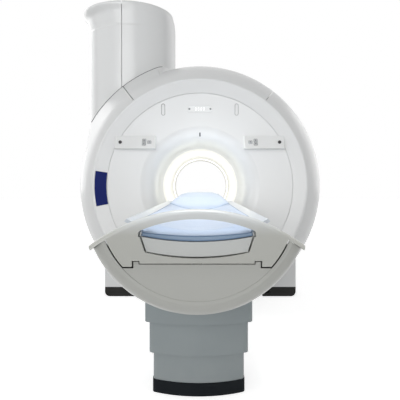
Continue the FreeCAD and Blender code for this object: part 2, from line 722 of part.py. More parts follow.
def tower_skin():
    """The whole skin: barrel with a floor, flare, and the cuts that seat it on the ring and side covers."""
    floor_z = TOWER_FLOOR_Z + SKIN
    flare_z = TOWER_TOP_Z + FLARE[0][0]
    outer = fuse([bar(TOWER_R, TOWER_X, TOWER_Y, TOWER_FLOOR_Z, flare_z - TOWER_FLOOR_Z), flare(0.0)])
    inner = flare(SKIN)
    mouth = top_face(inner).extrude(V(0, 0, SKIN))
    skin = outer.cut(bar(TOWER_R - SKIN, TOWER_X, TOWER_Y, floor_z, flare_z - floor_z)).cut(inner).cut(mouth)
    skin = skin.cut(disc(COVER_R + 2 * FIT, -FAR, FAR))
    return skin.cut(disc(RISE_R + SEAM, -FAR, RISE_BACK_Y + SEAM / 2))


def top_face(shape):
    return sorted(shape.Faces, key=lambda f: -f.CenterOfMass.z)[0]


def tower_half(left):
    split = box(-FAR, TOWER_SPLIT_X - SEAM / 2, -FAR, FAR, 0, FAR)
    if not left:
        split = box(TOWER_SPLIT_X + SEAM / 2, FAR, -FAR, FAR, 0, FAR)
    return largest_first(tower_skin().common(split))[0]


def largest_first(shape):
    return sorted(shape.Solids, key=lambda s: -s.Volume)


def tower_cap():
    """Lid set down inside the flare, with a round opening for the vent pipe."""
    low, high = (TOWER_TOP_Z - drop for drop in LID_DROP)
    lid = flare(SKIN + FIT).common(box(-FAR, FAR, -FAR, FAR, low, high))
    return lid.cut(bar(LID_HOLE_R, TURRET_X, TURRET_Y, low - 1, high - low + 2))


def service_turret():
    """Neck of the cryostat, with its top flange."""
    neck = bar(TURRET_R, TURRET_X, TURRET_Y, AXIS_Z, TURRET_TOP_Z - AXIS_Z)
    flange = bar(TURRET_FLANGE_R, TURRET_X, TURRET_Y, TURRET_TOP_Z - FLANGE_H, FLANGE_H)
    return fuse([neck, flange]).cut(disc(VESSEL_R + FIT, -FAR, FAR))


def side_cover_hole():
    """Space that the turret and the cold head take through the side cover."""
    return Part.makeCompound([bar(TURRET_R + 12, TURRET_X, TURRET_Y, AXIS_Z, FAR),
                              bar(COLD_HEAD_R + 12, COLD_HEAD_X, TURRET_Y, AXIS_Z, FAR)])


def cold_head():
    """Two-stage refrigerator: stepped body with a motor drum across its top."""
    lower = bar(COLD_HEAD_R, COLD_HEAD_X, TURRET_Y, AXIS_Z, COLD_HEAD_STEP_Z - AXIS_Z)
    drum_z = COLD_HEAD_TOP_Z - COLD_DRUM_R
    upper = bar(COLD_HEAD_NECK_R, COLD_HEAD_X, TURRET_Y, COLD_HEAD_STEP_Z - 1, drum_z - COLD_HEAD_STEP_Z)
    drum = bar(COLD_DRUM_R, COLD_HEAD_X - COLD_DRUM_L / 2, TURRET_Y, drum_z, COLD_DRUM_L, V(1, 0, 0))
    return fuse([lower, upper, drum]).cut(disc(VESSEL_R + FIT, -FAR, FAR))


def quench_pipe():
    """Vent pipe from the turret to a bolted flange in the lid's opening, shut by a disc at its foot."""
    top = TOWER_TOP_Z - QUENCH_DROP
    thick = QUENCH_FLANGE_H
    pipe = bar(QUENCH_R, TURRET_X, TURRET_Y, TURRET_TOP_Z, top - TURRET_TOP_Z)
    flanges = [bar(QUENCH_FLANGE_R, TURRET_X, TURRET_Y, z, thick) for z in (TURRET_TOP_Z, top - thick)]
    channel = bar(QUENCH_R - QUENCH_WALL, TURRET_X, TURRET_Y, TURRET_TOP_Z + thick, top)
    pipe = fuse([pipe] + flanges).cut(channel)
    holes = []
    for n in range(QUENCH_BOLTS):
        angle = 2 * math.pi * n / QUENCH_BOLTS
        x = TURRET_X + QUENCH_BOLT_R * math.cos(angle)
        y = TURRET_Y + QUENCH_BOLT_R * math.sin(angle)
        holes.append(bar(QUENCH_HOLE_R, x, y, top - QUENCH_FLANGE_H - 1, QUENCH_FLANGE_H + 2))
    return pipe.cut(Part.makeCompound(holes))


# Control panels -------------------------------------------------------------------------------

def panel_frame():
    """Middle of the sloped face and the angle that lifts local Z onto its outward normal."""
    height = PANEL_TOP_Z - PANEL_BOTTOM_Z
    slope = math.atan2(PANEL_PROUD, height)
    middle = V(0, PANEL_TOP_Y - PANEL_PROUD / 2, PANEL_BOTTOM_Z + height / 2)
    return middle, 90.0 - math.degrees(slope)


def on_panel(shape, x, up):
    """Places a shape made at the origin, face up, on the right-hand panel."""
    middle, tilt = panel_frame()
    copy = shape.copy()
    copy.translate(V(x, up, 0))
    copy.rotate(V(0, 0, 0), V(1, 0, 0), tilt)
    copy.translate(middle)
    return copy


def key_block(grow, bottom, top):
    half_w = KEY_SIZE[0] / 2 + grow
    half_h = KEY_SIZE[1] / 2 + grow
    block = box(-half_w, half_w, -half_h, half_h, bottom, top)
    edges = [e for e in block.Edges if abs(e.tangentAt(e.FirstParameter).z) > 0.9]
    return block.makeFillet(3.0, edges)


def right_control_panel():
    """Wedge that stands proud at its lower edge, with pockets for its keys."""
    back_y = DISH_Y + 5 * SKIN
    middle_z = (PANEL_TOP_Z + PANEL_BOTTOM_Z) / 2
    side = face_of(lambda y, z: V(PANEL_IN_X, y, z), [
        (PANEL_TOP_Y, PANEL_TOP_Z), (PANEL_TOP_Y - PANEL_PROUD, PANEL_BOTTOM_Z), (back_y, PANEL_BOTTOM_Z),
        (back_y, PANEL_TOP_Z)])
    panel = side.extrude(V(PANEL_OUT_X - PANEL_IN_X, 0, 0))
    corners = [e for e in panel.Edges if len(e.Vertexes) == 2 and abs(e.tangentAt(e.FirstParameter).x) < 0.1
               and e.CenterOfMass.y < PANEL_TOP_Y and abs(e.CenterOfMass.z - middle_z) < 5]
    panel = panel.makeFillet(PANEL_CORNER, corners)
    pockets = [on_panel(key_block(KEY_GAP, -KEY_POCKET, 40), x, up) for _, x, up in KEYS]
    pockets.append(on_panel(bar(STOP_R + KEY_GAP, 0, 0, -KEY_POCKET, 60), STOP_X, 0.0))
    return largest_first(panel.cut(front_envelope()).cut(Part.makeCompound(pockets)))[0]


def key_cap():
    """Square key with a raised rim edge."""
    cap = key_block(0.0, KEY_PROUD - KEY_HEIGHT + 3, KEY_PROUD)
    rim = [e for e in cap.Edges if e.CenterOfMass.z > KEY_PROUD - 0.1]
    return cap.makeChamfer(1.5, rim)


def stop_cap():
    """Round button with a domed top."""
    body = bar(STOP_R, 0, 0, KEY_PROUD - KEY_HEIGHT + 3, STOP_PROUD + KEY_HEIGHT - KEY_PROUD - 3)
    rim = [e for e in body.Edges if e.CenterOfMass.z > STOP_PROUD - 0.1]
    return body.makeFillet(3.5, rim)


def side_plate():
    start, end = PLATE_ANGLES
    front = [(SEAM_R + SEAM / 2 + 2, SEAM_Y - PLATE_LIFT), (CREST_R - 16, CREST_Y + 1.5 - PLATE_LIFT)]
    back = [(r, y - PLATE_T) for r, y in reversed(front)]
    return turned(front + back, AXIS_Z, start, end - start)


# Patient table --------------------------------------------------------------------------------

def bowl_profile(inset):
    out = BOWL_R - inset
    return [(RIM_R, FRONT_Y + inset + RIM_SET), (RIM_R + 12, FRONT_Y + inset + RIM_SET),
            ((BOWL_R - 14 - inset / 2, FRONT_Y + 22 + inset), (out, FRONT_Y + BOWL_ROUND + inset)),
            (out, TABLE_BACK_Y)]


def table_shell():
    """Bowl: rounded front rim, circular section and rear wall, open above, with a hole for the column."""
    out = bowl_profile(0.0)
    inn = bowl_profile(BOWL_WALL)
    steps = out + [inn[3], inn[2][1], (inn[2][0], inn[1]), inn[0]]
    start = 180.0 + BOWL_TIP
    bowl = turned(steps, BOWL_Z, start, 180.0 - 2 * BOWL_TIP)
    wall = disc(BOWL_R - 1, TABLE_BACK_Y - BOWL_WALL, TABLE_BACK_Y, BOWL_Z)
    front, back = TABLE_BACK_Y - 2 * BOWL_WALL, TABLE_BACK_Y + BOWL_WALL
    wall = wall.common(box(-BOWL_R, BOWL_R, front, back, 0, DECK_Z - DECK_T - 1))
    beam = box(-BEAM_HALF - 2, BEAM_HALF + 2, front, back, BEAM_Z[0] - 2, DECK_Z)
    trough = box(-DECK_IN, DECK_IN, front, back, BEAM_Z[1], DECK_Z)
    bowl = fuse([bowl, wall.cut(beam).cut(trough)])
    half_x, half_y = (half + 10 for half in PEDESTAL)
    opening = box(-half_x, half_x, COLUMN_Y - half_y, COLUMN_Y + half_y, TOP_PLATE_Z[1] - 60, BEAM_Z[0])
    under_arch = disc(ARCH_R - ARCH_BAND - 1.0, FRONT_Y - 10, FRONT_Y + HANDLE_T + 2, ARCH_Z)
    over = box(-BOWL_R, BOWL_R, FRONT_Y - 10, FRONT_Y + HANDLE_T + 2, GAP_Z, AXIS_Z).cut(under_arch)
    return bowl.cut(opening).cut(over)


def gap_line(lift, low, side):
    """Stepped edge of the end panel or the handle frame, moved up by lift, with its outer steps at low."""
    return [(-side, low), (-NOTCH[1] - lift, low), (-NOTCH[1] - lift, NOTCH_TOP_Z + lift),
            (-NOTCH[0] + lift, NOTCH_TOP_Z + lift), (-NOTCH[0] + lift, GAP_Z + lift),
            (NOTCH[0] - lift, GAP_Z + lift), (NOTCH[0] - lift, NOTCH_TOP_Z + lift),
            (NOTCH[1] + lift, NOTCH_TOP_Z + lift), (NOTCH[1] + lift, low), (side, low)]


def end_panel():
    """Lower front panel with two latch tabs, inside the rim of the bowl."""
    front = FRONT_Y + PANEL_SET
    low = BOWL_Z - BOWL_R
    edge = gap_line(-SEAM, FRAME_LOW_Z - FRAME_GAP, BOWL_R)
    below = prism(edge + [(BOWL_R, low), (-BOWL_R, low)], front, front + SKIN)
    return below.common(disc(RIM_R - FIT, front - 1, front + SKIN + 1, BOWL_Z))


def top_section(grow):
    """Foot section of the tabletop up to its edges: drawn-in sides and a shallow round bottom."""
    corner_x, corner_z = TOP_CORNER
    edge_x, edge_z = TOP_EDGE
    return [(-edge_x - grow, edge_z), (-corner_x - grow, corner_z - grow / 3),
            ((0, TOP_BOTTOM_Z - grow), (corner_x + grow, corner_z - grow / 3)), (edge_x + grow, edge_z)]


def handle_frame():
    """Front frame: arched handle over the mattress, trough for the tabletop, stepped lower edge."""
    back = FRONT_Y + HANDLE_T
    arch = disc(ARCH_R, FRONT_Y, back, ARCH_Z)
    plate = arch.common(disc(RIM_R - FRAME_GAP, FRONT_Y - 1, back + 1, BOWL_Z))
    edge = gap_line(0.0, FRAME_LOW_Z, BOWL_R)
    plate = plate.common(prism(edge + [(BOWL_R, AXIS_Z), (-BOWL_R, AXIS_Z)], FRONT_Y - 1, back + 1))
    bar_shape = arch.cut(disc(ARCH_R - ARCH_BAND, FRONT_Y - 1, back + 1, ARCH_Z)).common(
        disc(BOWL_R, FRONT_Y - 1, back + 1, BOWL_Z))
    bar_shape = bar_shape.common(box(-BOWL_R, BOWL_R, FRONT_Y, back, GAP_Z, AXIS_Z))
    window = prism([(-WINDOW_HALF, WINDOW_SILL_Z), (-WINDOW_HALF, crown(WINDOW_R, WINDOW_Z, WINDOW_HALF)),
                    ((0, WINDOW_Z + WINDOW_R), (WINDOW_HALF, crown(WINDOW_R, WINDOW_Z, WINDOW_HALF))),
                    (WINDOW_HALF, WINDOW_SILL_Z)], FRONT_Y - 1, back + 1)
    corners = [e for e in window.Edges
               if abs(e.tangentAt(e.FirstParameter).y) > 0.9 and e.CenterOfMass.z > WINDOW_SILL_Z + 1]
    window = window.makeFillet(WINDOW_CORNER, corners)
    trough = prism(top_section(SEAM), FRONT_Y - 1, back + 1)
    frame = fuse([plate, bar_shape])
    crest = [e for e in frame.Edges if type(e.Curve) is Part.Circle and abs(e.Curve.Radius - ARCH_R) < FIT
             and e.CenterOfMass.y < FRONT_Y + FIT]
    return frame.makeFillet(HANDLE_ROUND, crest).cut(window).cut(trough)


def deck(side):
    """One side of the deck: flat top, trough side and a foot on the beam."""
    edge = BOWL_R * math.cos(math.radians(BOWL_TIP)) - DECK_EDGE
    top = DECK_Z
    low = BEAM_Z[1]
    inner = TOP_CORNER[0] + DECK_GAP
    toe = BEAM_HALF - DECK_FOOT
    steps = [(edge, top), (DECK_IN, top), (inner, TOP_CORNER[1]), (inner, low + DECK_T), (toe, low + DECK_T),
             (toe, low), (inner + DECK_T, low), (inner + DECK_T, TOP_CORNER[1] - 2),
             (DECK_IN + 3, top - DECK_T), (edge, top - DECK_T)]
    wing = prism(steps, FRONT_Y + BOWL_ROUND + 2, TABLE_BACK_Y - BOWL_WALL - FIT)
    return wing if side > 0 else mirrored(wing)


def table_frame():
    """Slotted box beam with two running rails, on a pedestal through the bowl, and its guide shoe."""
    half, wall, slot = BEAM_HALF, BEAM_WALL, BEAM_SLOT
    low, high = BEAM_Z
    beam = prism([(-half, low), (half, low), (half, high), (slot, high), (slot, high - wall),
                  (half - wall, high - wall), (half - wall, low + wall), (wall - half, low + wall),
                  (wall - half, high - wall), (-slot, high - wall), (-slot, high), (-half, high)],
                 BEAM_FRONT_Y, BEAM_BACK_Y)
    rails = [box(x - RAIL_HALF_W, x + RAIL_HALF_W, BEAM_FRONT_Y, BEAM_BACK_Y, high - 1, RAIL_TOP_Z)
             for x in (-RAIL_X, RAIL_X)]
    foot_x, foot_y = PEDESTAL
    pedestal = box(-foot_x, foot_x, COLUMN_Y - foot_y, COLUMN_Y + foot_y, TOP_PLATE_Z[1], low + 1)
    end = box(-half, half, BEAM_BACK_Y - wall, BEAM_BACK_Y, low, high)
    inner = GUIDE_HALF + GUIDE_FIT
    cheek = box(inner, inner + SHOE_WALL, BEAM_BACK_Y - 1, BAY_BACK_Y - SHOE_WALL / 2, SHOE_Z[0], SHOE_Z[1])
    return fuse([beam, pedestal, end, cheek, mirrored(cheek)] + rails)


def tabletop():
    """Moving board: round-bottomed foot, raised cradle wings behind the handle, rounded head end."""
    under = top_section(0.0)
    foot = prism(under + [((0, TOP_CENTRE_Z), under[0])], FOOT_Y, WING_Y + 1)
    hollow = ((0, TOP_CENTRE_Z), (-CRADLE_EDGE[0], CRADLE_EDGE[1]))
    cradle = prism(under + [WING_TIP, WING_TOP, CRADLE_EDGE, hollow, (-WING_TOP[0], WING_TOP[1]),
                            (-WING_TIP[0], WING_TIP[1])], WING_Y, HEAD_Y)
    board = fuse([foot, cradle])
    half = WING_TIP[0] + 1
    pull = HEAD_ROUND * (1 - math.sqrt(0.5))
    plan = upright([(-half, FOOT_Y - 1), (half, FOOT_Y - 1), (half, HEAD_Y - HEAD_ROUND),
                    ((half - pull, HEAD_Y - pull), (half - HEAD_ROUND, HEAD_Y)), (HEAD_ROUND - half, HEAD_Y),
                    ((pull - half, HEAD_Y - pull), (-half, HEAD_Y - HEAD_ROUND))], TOP_BOTTOM_Z - 1, AXIS_Z)
    belt_z = PULLEY_Z + PULLEY_R + BELT_T + FIT
    clamp = box(-CLAMP_HALF, CLAMP_HALF, CLAMP_Y[0], CLAMP_Y[1], belt_z + FIT, TOP_BOTTOM_Z + 4)
    return fuse([board.common(plan), clamp])


def section(steps, y):
    return Part.Wire(steps_edges(lambda x, z: V(x, y, z), steps))


def sag(edge, half):
    """Height of a face that sags from an edge to the board's middle, at a given half width."""
    return TOP_CENTRE_Z + (edge[1] - TOP_CENTRE_Z) * (half / edge[0]) ** 2


def mattress():
    """Pad that lies in the sagging board, its edges drawn up further between the wings."""
    low = TOP_CENTRE_Z + PAD_LIFT
    outlines = []
    for edge, base, top, centre, side in ((TOP_EDGE,) + MATTRESS_FOOT, (CRADLE_EDGE,) + MATTRESS_CRADLE):
        edge_z = sag(edge, base) + 2 * PAD_LIFT
        outlines.append([(-base, edge_z), ((0, low), (base, edge_z)), (top, edge_z + side),
                         ((0, low + centre), (-top, edge_z + side))])
    foot, cradle = outlines
    behind = FRONT_Y + HANDLE_T + 2
    ramp = Part.makeLoft([section(foot, behind), section(cradle, WING_Y - 1)], True, True)
    return fuse([prism(foot, FOOT_Y + 10, behind), ramp, prism(cradle, WING_Y - 1, MATTRESS_HEAD_Y)])


def head_cushion():
    """Crowned wedge that rises from the mattress to the head end, its sides drawn in towards the top."""
    pad_half, _, centre, side = MATTRESS_CRADLE
    low = TOP_CENTRE_Z + centre + 2 * PAD_LIFT
    half = CUSHION_BASE_HALF
    edge_z = sag(CRADLE_EDGE, pad_half) + side + 3 * PAD_LIFT
    sections = []
    for y, top_half, top in CUSHION_STEPS:
        middle = top + CUSHION_CROWN
        if not top:
            top = edge_z + CUSHION_TOE / 2
            middle = low + CUSHION_TOE
        steps = [(-half, edge_z), ((0, low), (half, edge_z)), (top_half, top),
                 ((0, middle), (-top_half, top))]
        sections.append(section(steps, y))
    return Part.makeLoft(sections, True, True)


def pulley(y):
    drum = bar(PULLEY_R, -PULLEY_W / 2, y, PULLEY_Z, PULLEY_W, V(1, 0, 0))
    half = BEAM_HALF - BEAM_WALL - FIT
    return fuse([drum, bar(SHAFT_R, -half, y, PULLEY_Z, 2 * half, V(1, 0, 0))])


def drive_belt():
    """Toothed belt as a closed loop round both pulleys."""
    inner = PULLEY_R + FIT
    outer = inner + BELT_T

    def loop(radius, half_w):
        z = PULLEY_Z
        face = face_of(lambda y, z: V(-half_w, y, z), [
            (IDLER_Y, z + radius), ((IDLER_Y - radius, z), (IDLER_Y, z - radius)), (DRIVE_Y, z - radius),
            ((DRIVE_Y + radius, z), (DRIVE_Y, z + radius))])
        return face.extrude(V(2 * half_w, 0, 0))

    return loop(outer, BELT_W / 2).cut(loop(inner, BELT_W))


def drive_motor():
    """Hollow-shaft gear motor on the beam's wall."""
    length = MOTOR_L
    start = BEAM_HALF - BEAM_WALL - length
    body = bar(MOTOR_R, start, DRIVE_Y, PULLEY_Z, length, V(1, 0, 0))
    flange = bar(MOTOR_R + 8, BEAM_HALF - BEAM_WALL - 10, DRIVE_Y, PULLEY_Z, 10, V(1, 0, 0))
    return fuse([body, flange]).cut(bar(SHAFT_R + FIT, start - 1, DRIVE_Y, PULLEY_Z, length + 1, V(1, 0, 0)))


# Lift column ----------------------------------------------------------------------------------

def sleeve(half, reach, bottom, top, corner=STAGE_CORNER):
    """Upright with bowed front and back and round corners. reach is half its depth at the middle."""
    y = COLUMN_Y
    side = reach - STAGE_BOW
    solid = upright([(-half, y - side), ((0, y - reach), (half, y - side)), (half, y + side),
                     ((0, y + reach), (-half, y + side))], bottom, top)
    edges = [e for e in solid.Edges if abs(e.tangentAt(e.FirstParameter).z) > 0.9]
    return solid.makeFillet(corner, edges)


def stage(index, top):
    """Hollow sleeve, with an inner lip at its foot that runs on the next stage."""
    half, reach, bottom = STAGE_HALF[index], STAGE_FRONT[index], STAGE_BOTTOM[index]
    wall = STAGE_WALL
    shell = sleeve(half, reach, bottom, top)
    if index == 2:
        return shell.cut(sleeve(half - wall, reach - wall, bottom - 1, top + 1, STAGE_CORNER - wall))
    room = sleeve(half - wall, reach - wall, bottom + LIP_H, top + 1, STAGE_CORNER - wall)
    next_half, next_reach = STAGE_HALF[index + 1], STAGE_FRONT[index + 1]
    mouth = sleeve(next_half + SLIDE_FIT, next_reach + SLIDE_FIT, bottom - 1, bottom + LIP_H + 1)
    return shell.cut(room).cut(mouth)


def column_upper():
    """Upper sleeve, cut to sit under the bowl, with the top plate that the ram and frame bolt to."""
    shell = stage(0, BOWL_Z)
    plate = sleeve(STAGE_HALF[0] - 1, STAGE_FRONT[0] - 1, TOP_PLATE_Z[0], TOP_PLATE_Z[1])
    under = disc(BOWL_R + FIT, FRONT_Y, TABLE_BACK_Y, BOWL_Z)
    return fuse([shell, plate]).cut(under)


def column_middle():
    return stage(1, STAGE_TOP[1])


def column_lower():
    return stage(2, STAGE_TOP[2])


def table_base():
    """Black plinth with a pocket for the lift cylinder and four anchor holes."""
    base = sleeve(STAGE_HALF[2] + 3, STAGE_FRONT[2] + 3, 0.0, BASE_H)
    base = base.cut(bar(CYLINDER_R + FIT, 0, COLUMN_Y, 12, BASE_H))
    holes = [bar(8.0, sx * BASE_ANCHOR[0], COLUMN_Y + sy * BASE_ANCHOR[1], -1, BASE_H + 2)
             for sx in (-1, 1) for sy in (-1, 1)]
    return base.cut(Part.makeCompound(holes))


def lift_cylinder():
    body = bar(CYLINDER_R, 0, COLUMN_Y, 12, CYLINDER_TOP_Z - 12)
    return body.cut(bar(RAM_R + SLIDE_FIT, 0, COLUMN_Y, 16, CYLINDER_TOP_Z))


def lift_ram():
    return bar(RAM_R, 0, COLUMN_Y, RAM_BOTTOM_Z, TOP_PLATE_Z[0] - RAM_BOTTOM_Z)


def build():
    plain_side = left_side_cover()
    parts = {
        "vacuum_vessel": vacuum_vessel(), "radiation_shield": radiation_shield(),
        "helium_vessel": helium_vessel(), "magnet_coils": magnet_coils(),
        "suspension_straps": suspension_straps(), "gradient_coil": gradient_coil(),
        "shim_trays": shim_trays(), "body_coil": body_coil(), "bore_liner": bore_liner(),
        "light_strips": light_strips(), "bore_bridge": bore_bridge(), "front_dish": front_dish(),
        "laser_window": laser_window(), "display_window": display_window(), "docking_bay": docking_bay(),
        "ring_top_cover": ring_top_cover(), "ring_left_cover": ring_left_cover(),
        "ring_right_cover": ring_right_cover(), "side_plate": side_plate(), "rear_cover": rear_cover(),
        "rear_funnel": rear_funnel(), "left_side_cover": plain_side.cut(side_cover_hole()),
        "right_side_cover": mirrored(plain_side), "left_foot": left_foot(),
        "right_foot": mirrored(left_foot()),
        "tower_left_cover": tower_half(True), "tower_right_cover": tower_half(False),
        "tower_cap": tower_cap(), "service_turret": service_turret(), "cold_head": cold_head(),
        "quench_pipe": quench_pipe(), "table_base": table_base(), "column_lower": column_lower(),
        "column_middle": column_middle(), "column_upper": column_upper(), "lift_cylinder": lift_cylinder(),
        "lift_ram": lift_ram(), "table_frame": table_frame(), "table_shell": table_shell(),
        "end_panel": end_panel(), "handle_frame": handle_frame(), "left_deck": deck(-1),
        "right_deck": deck(1), "tabletop": tabletop(), "mattress": mattress(),
        "head_cushion": head_cushion(), "drive_belt": drive_belt(), "drive_pulley": pulley(DRIVE_Y),
        "idler_pulley": pulley(IDLER_Y), "drive_motor": drive_motor(),
    }
    panel = right_control_panel()
    parts["right_control_panel"] = panel
    parts["left_control_panel"] = mirrored(panel)
    for name, x, up in KEYS + (("stop_button", STOP_X, 0.0),):
        cap = on_panel(stop_cap() if name == "stop_button" else key_cap(), x, up)
        parts["right_" + name] = cap
        parts["left_" + name] = mirrored(cap)
    return parts


def main():
    os.makedirs("parts", exist_ok=True)
    for name, shape in build().items():
        shape.exportStep("parts/" + name + ".step")
        print(name, len(shape.Solids), shape.isValid(), round(shape.Volume / 1e6, 3))


main()
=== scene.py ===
import bpy
import bmesh
import json
import math
from mathutils import Matrix, Vector


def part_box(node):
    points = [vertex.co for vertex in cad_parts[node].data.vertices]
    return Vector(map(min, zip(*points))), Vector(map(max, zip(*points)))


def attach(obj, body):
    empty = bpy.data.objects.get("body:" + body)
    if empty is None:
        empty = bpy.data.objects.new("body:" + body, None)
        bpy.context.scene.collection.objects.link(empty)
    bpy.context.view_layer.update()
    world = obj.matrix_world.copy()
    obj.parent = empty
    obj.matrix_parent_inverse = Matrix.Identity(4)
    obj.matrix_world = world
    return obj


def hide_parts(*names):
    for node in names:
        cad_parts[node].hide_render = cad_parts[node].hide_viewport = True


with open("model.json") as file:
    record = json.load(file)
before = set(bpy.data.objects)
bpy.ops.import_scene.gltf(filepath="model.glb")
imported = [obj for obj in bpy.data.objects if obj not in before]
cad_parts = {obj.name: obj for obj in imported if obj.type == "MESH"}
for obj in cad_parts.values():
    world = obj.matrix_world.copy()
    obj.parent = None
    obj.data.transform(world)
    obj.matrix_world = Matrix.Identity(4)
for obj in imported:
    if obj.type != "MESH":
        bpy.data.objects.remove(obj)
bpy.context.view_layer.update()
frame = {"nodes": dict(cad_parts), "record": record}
nodes = frame["nodes"]

# the Mix node's colour sockets go by number, because their names repeat
mixSockets = {"factor": 0, "first": 6, "second": 7, "result": 2}


def setInputs(tree, node, inputs):
    # another node's socket is linked, a plain value is set
    for key, value in inputs.items():
        if hasattr(value, "is_output"):
            tree.links.new(value, node.inputs[key])
        else:
            node.inputs[key].default_value = value


def addNode(tree, kind, inputs=None, **options):
    node = tree.nodes.new(kind)
    for key, value in options.items():
        setattr(node, key, value)
    setInputs(tree, node, inputs or {})
    return node


def addNoise(tree, spot, scale, detail, roughness=0.5, distortion=0.0):
    node = addNode(tree, "ShaderNodeTexNoise",
                   {"Vector": spot, "Scale": scale, "Detail": detail, "Roughness": roughness,
                    "Distortion": distortion})
    return node.outputs[0]


def calc(tree, operation, first, second):
    return addNode(tree, "ShaderNodeMath", {0: first, 1: second}, operation=operation).outputs[0]


def scaled(tree, source, factor):
    # a colour or a place times a colour, a vector or a number
    node = addNode(tree, "ShaderNodeVectorMath", {0: source, 1: factor}, operation="MULTIPLY")
    return node.outputs[0]


def mixColor(tree, factor, first, second):
    node = addNode(tree, "ShaderNodeMix",
                   {mixSockets["factor"]: factor, mixSockets["first"]: first,
                    mixSockets["second"]: second}, data_type="RGBA")
    return node.outputs[mixSockets["result"]]


def spread(tree, source, low, high, toLow, toHigh):
    # low to high in the source becomes toLow to toHigh
    node = addNode(tree, "ShaderNodeMapRange",
                   {"Value": source, "From Min": low, "From Max": high, "To Min": toLow,
                    "To Max": toHigh})
    return node.outputs[0]


def objectPlace(tree):
    return addNode(tree, "ShaderNodeTexCoord").outputs["Object"]


def heightOf(tree, spot):
    return addNode(tree, "ShaderNodeSeparateXYZ", {0: spot}).outputs["Z"]


def newGroup(name, inputs, outputs):
    # inputs give each socket's kind and first value, outputs its kind
    group = bpy.data.node_groups.new(name, "ShaderNodeTree")
    for label, (kind, value) in inputs.items():
        socket = group.interface.new_socket(name=label, in_out="INPUT",
                                            socket_type="NodeSocket" + kind)
        socket.default_value = value
    for label, kind in outputs.items():
        group.interface.new_socket(name=label, in_out="OUTPUT", socket_type="NodeSocket" + kind)
    return group, group.nodes.new("NodeGroupInput"), group.nodes.new("NodeGroupOutput")


skinOutputs = {"Color": "Color", "Roughness": "Float", "Height": "Float"}
skins = {"noise": (0.35, 0.65),         # where most of a noise lies
         "dustHeight": 0.45,            # dust thins out up to here
         "streak": (0.3, 0.7), "streakTone": (0.88, 1.08),
         "threadTone": 0.35, "clothGloss": (0.42, 0.56),
         "coatRoughness": 0.12,
         "mouldDepth": 0.0006, "metalDepth": 0.0004, "clothDepth": 0.0006,
         "metalBump": 0.08, "clothBump": 0.25}


def makeMouldGroup():
    # moulded plastic: fine orange peel, slow colour drift and a little dust low down
    group, start, end = newGroup("mouldedSkin", {
        "Color": ("Color", (0.8, 0.8, 0.8, 1)), "Dust Color": ("Color", (0.6, 0.59, 0.56, 1)),
        "Grain Scale": ("Float", 900.0), "Drift": ("Float", 0.03), "Gloss Low": ("Float", 0.28),
        "Gloss High": ("Float", 0.38), "Dust": ("Float", 0.05)}, skinOutputs)
    values = start.outputs
    spot = objectPlace(group)
    slow = addNoise(group, spot, scale=1.7, detail=3.0)
    haze = addNoise(group, spot, scale=9.0, detail=5.0, roughness=0.6)
    peel = addNoise(group, spot, scale=values["Grain Scale"], detail=2.0, roughness=0.4)
    low = spread(group, heightOf(group, spot), 0.0, skins["dustHeight"], 1.0, 0.0)
    dust = calc(group, "MULTIPLY", calc(group, "MULTIPLY", low, haze), values["Dust"])
    drift = calc(group, "MULTIPLY", calc(group, "SUBTRACT", slow, 0.5), values["Drift"])
    tinted = scaled(group, values["Color"], calc(group, "ADD", drift, 1.0))
    dusty = mixColor(group, dust, tinted, values["Dust Color"])
    gloss = spread(group, haze, *skins["noise"], values["Gloss Low"], values["Gloss High"])
    setInputs(group, end, {"Color": dusty, "Roughness": gloss, "Height": peel})
    return group


def makeMetalGroup():
    # metal: long brushed streaks along one axis, with smudges
    group, start, end = newGroup("brushedSkin", {
        "Color": ("Color", (0.6, 0.6, 0.6, 1)), "Stretch": ("Vector", (400.0, 6.0, 400.0)),
        "Gloss Low": ("Float", 0.25), "Gloss High": ("Float", 0.45)}, skinOutputs)
    values = start.outputs
    spot = objectPlace(group)
    pulled = scaled(group, spot, values["Stretch"])
    streak = addNoise(group, pulled, scale=1.0, detail=3.0)
    smudge = addNoise(group, spot, scale=12.0, detail=4.0)
    tone = spread(group, streak, *skins["streak"], *skins["streakTone"])
    tinted = scaled(group, values["Color"], tone)
    gloss = spread(group, smudge, *skins["noise"], values["Gloss Low"], values["Gloss High"])
    setInputs(group, end, {"Color": tinted, "Roughness": gloss, "Height": streak})
    return group


def makeClothGroup():
    # coated cloth: a fine crossed weave under a thin coat, with soft wrinkles
    group, start, end = newGroup("coatedCloth", {
        "Color": ("Color", (0.4, 0.6, 0.9, 1)), "Thread Color": ("Color", (0.3, 0.45, 0.7, 1)),
        "Thread Scale": ("Float", 420.0), "Wrinkle": ("Float", 0.3)}, skinOutputs)
    values = start.outputs
    spot = objectPlace(group)
    threads = {"Vector": spot, "Scale": values["Thread Scale"], "Distortion": 0.4, "Detail": 1.0}
    waves = [addNode(group, "ShaderNodeTexWave", threads, bands_direction=way).outputs["Fac"]
             for way in ("X", "Y")]
    weave = calc(group, "MULTIPLY", *waves)
    fold = addNoise(group, spot, scale=7.0, detail=3.0, distortion=0.6)
    height = calc(group, "ADD", weave, calc(group, "MULTIPLY", fold, values["Wrinkle"]))
    thread = spread(group, weave, 0.0, 1.0, skins["threadTone"], 0.0)
    shade = mixColor(group, thread, values["Color"], values["Thread Color"])
    gloss = spread(group, fold, *skins["noise"], *skins["clothGloss"])
    setInputs(group, end, {"Color": shade, "Roughness": gloss, "Height": height})
    return group


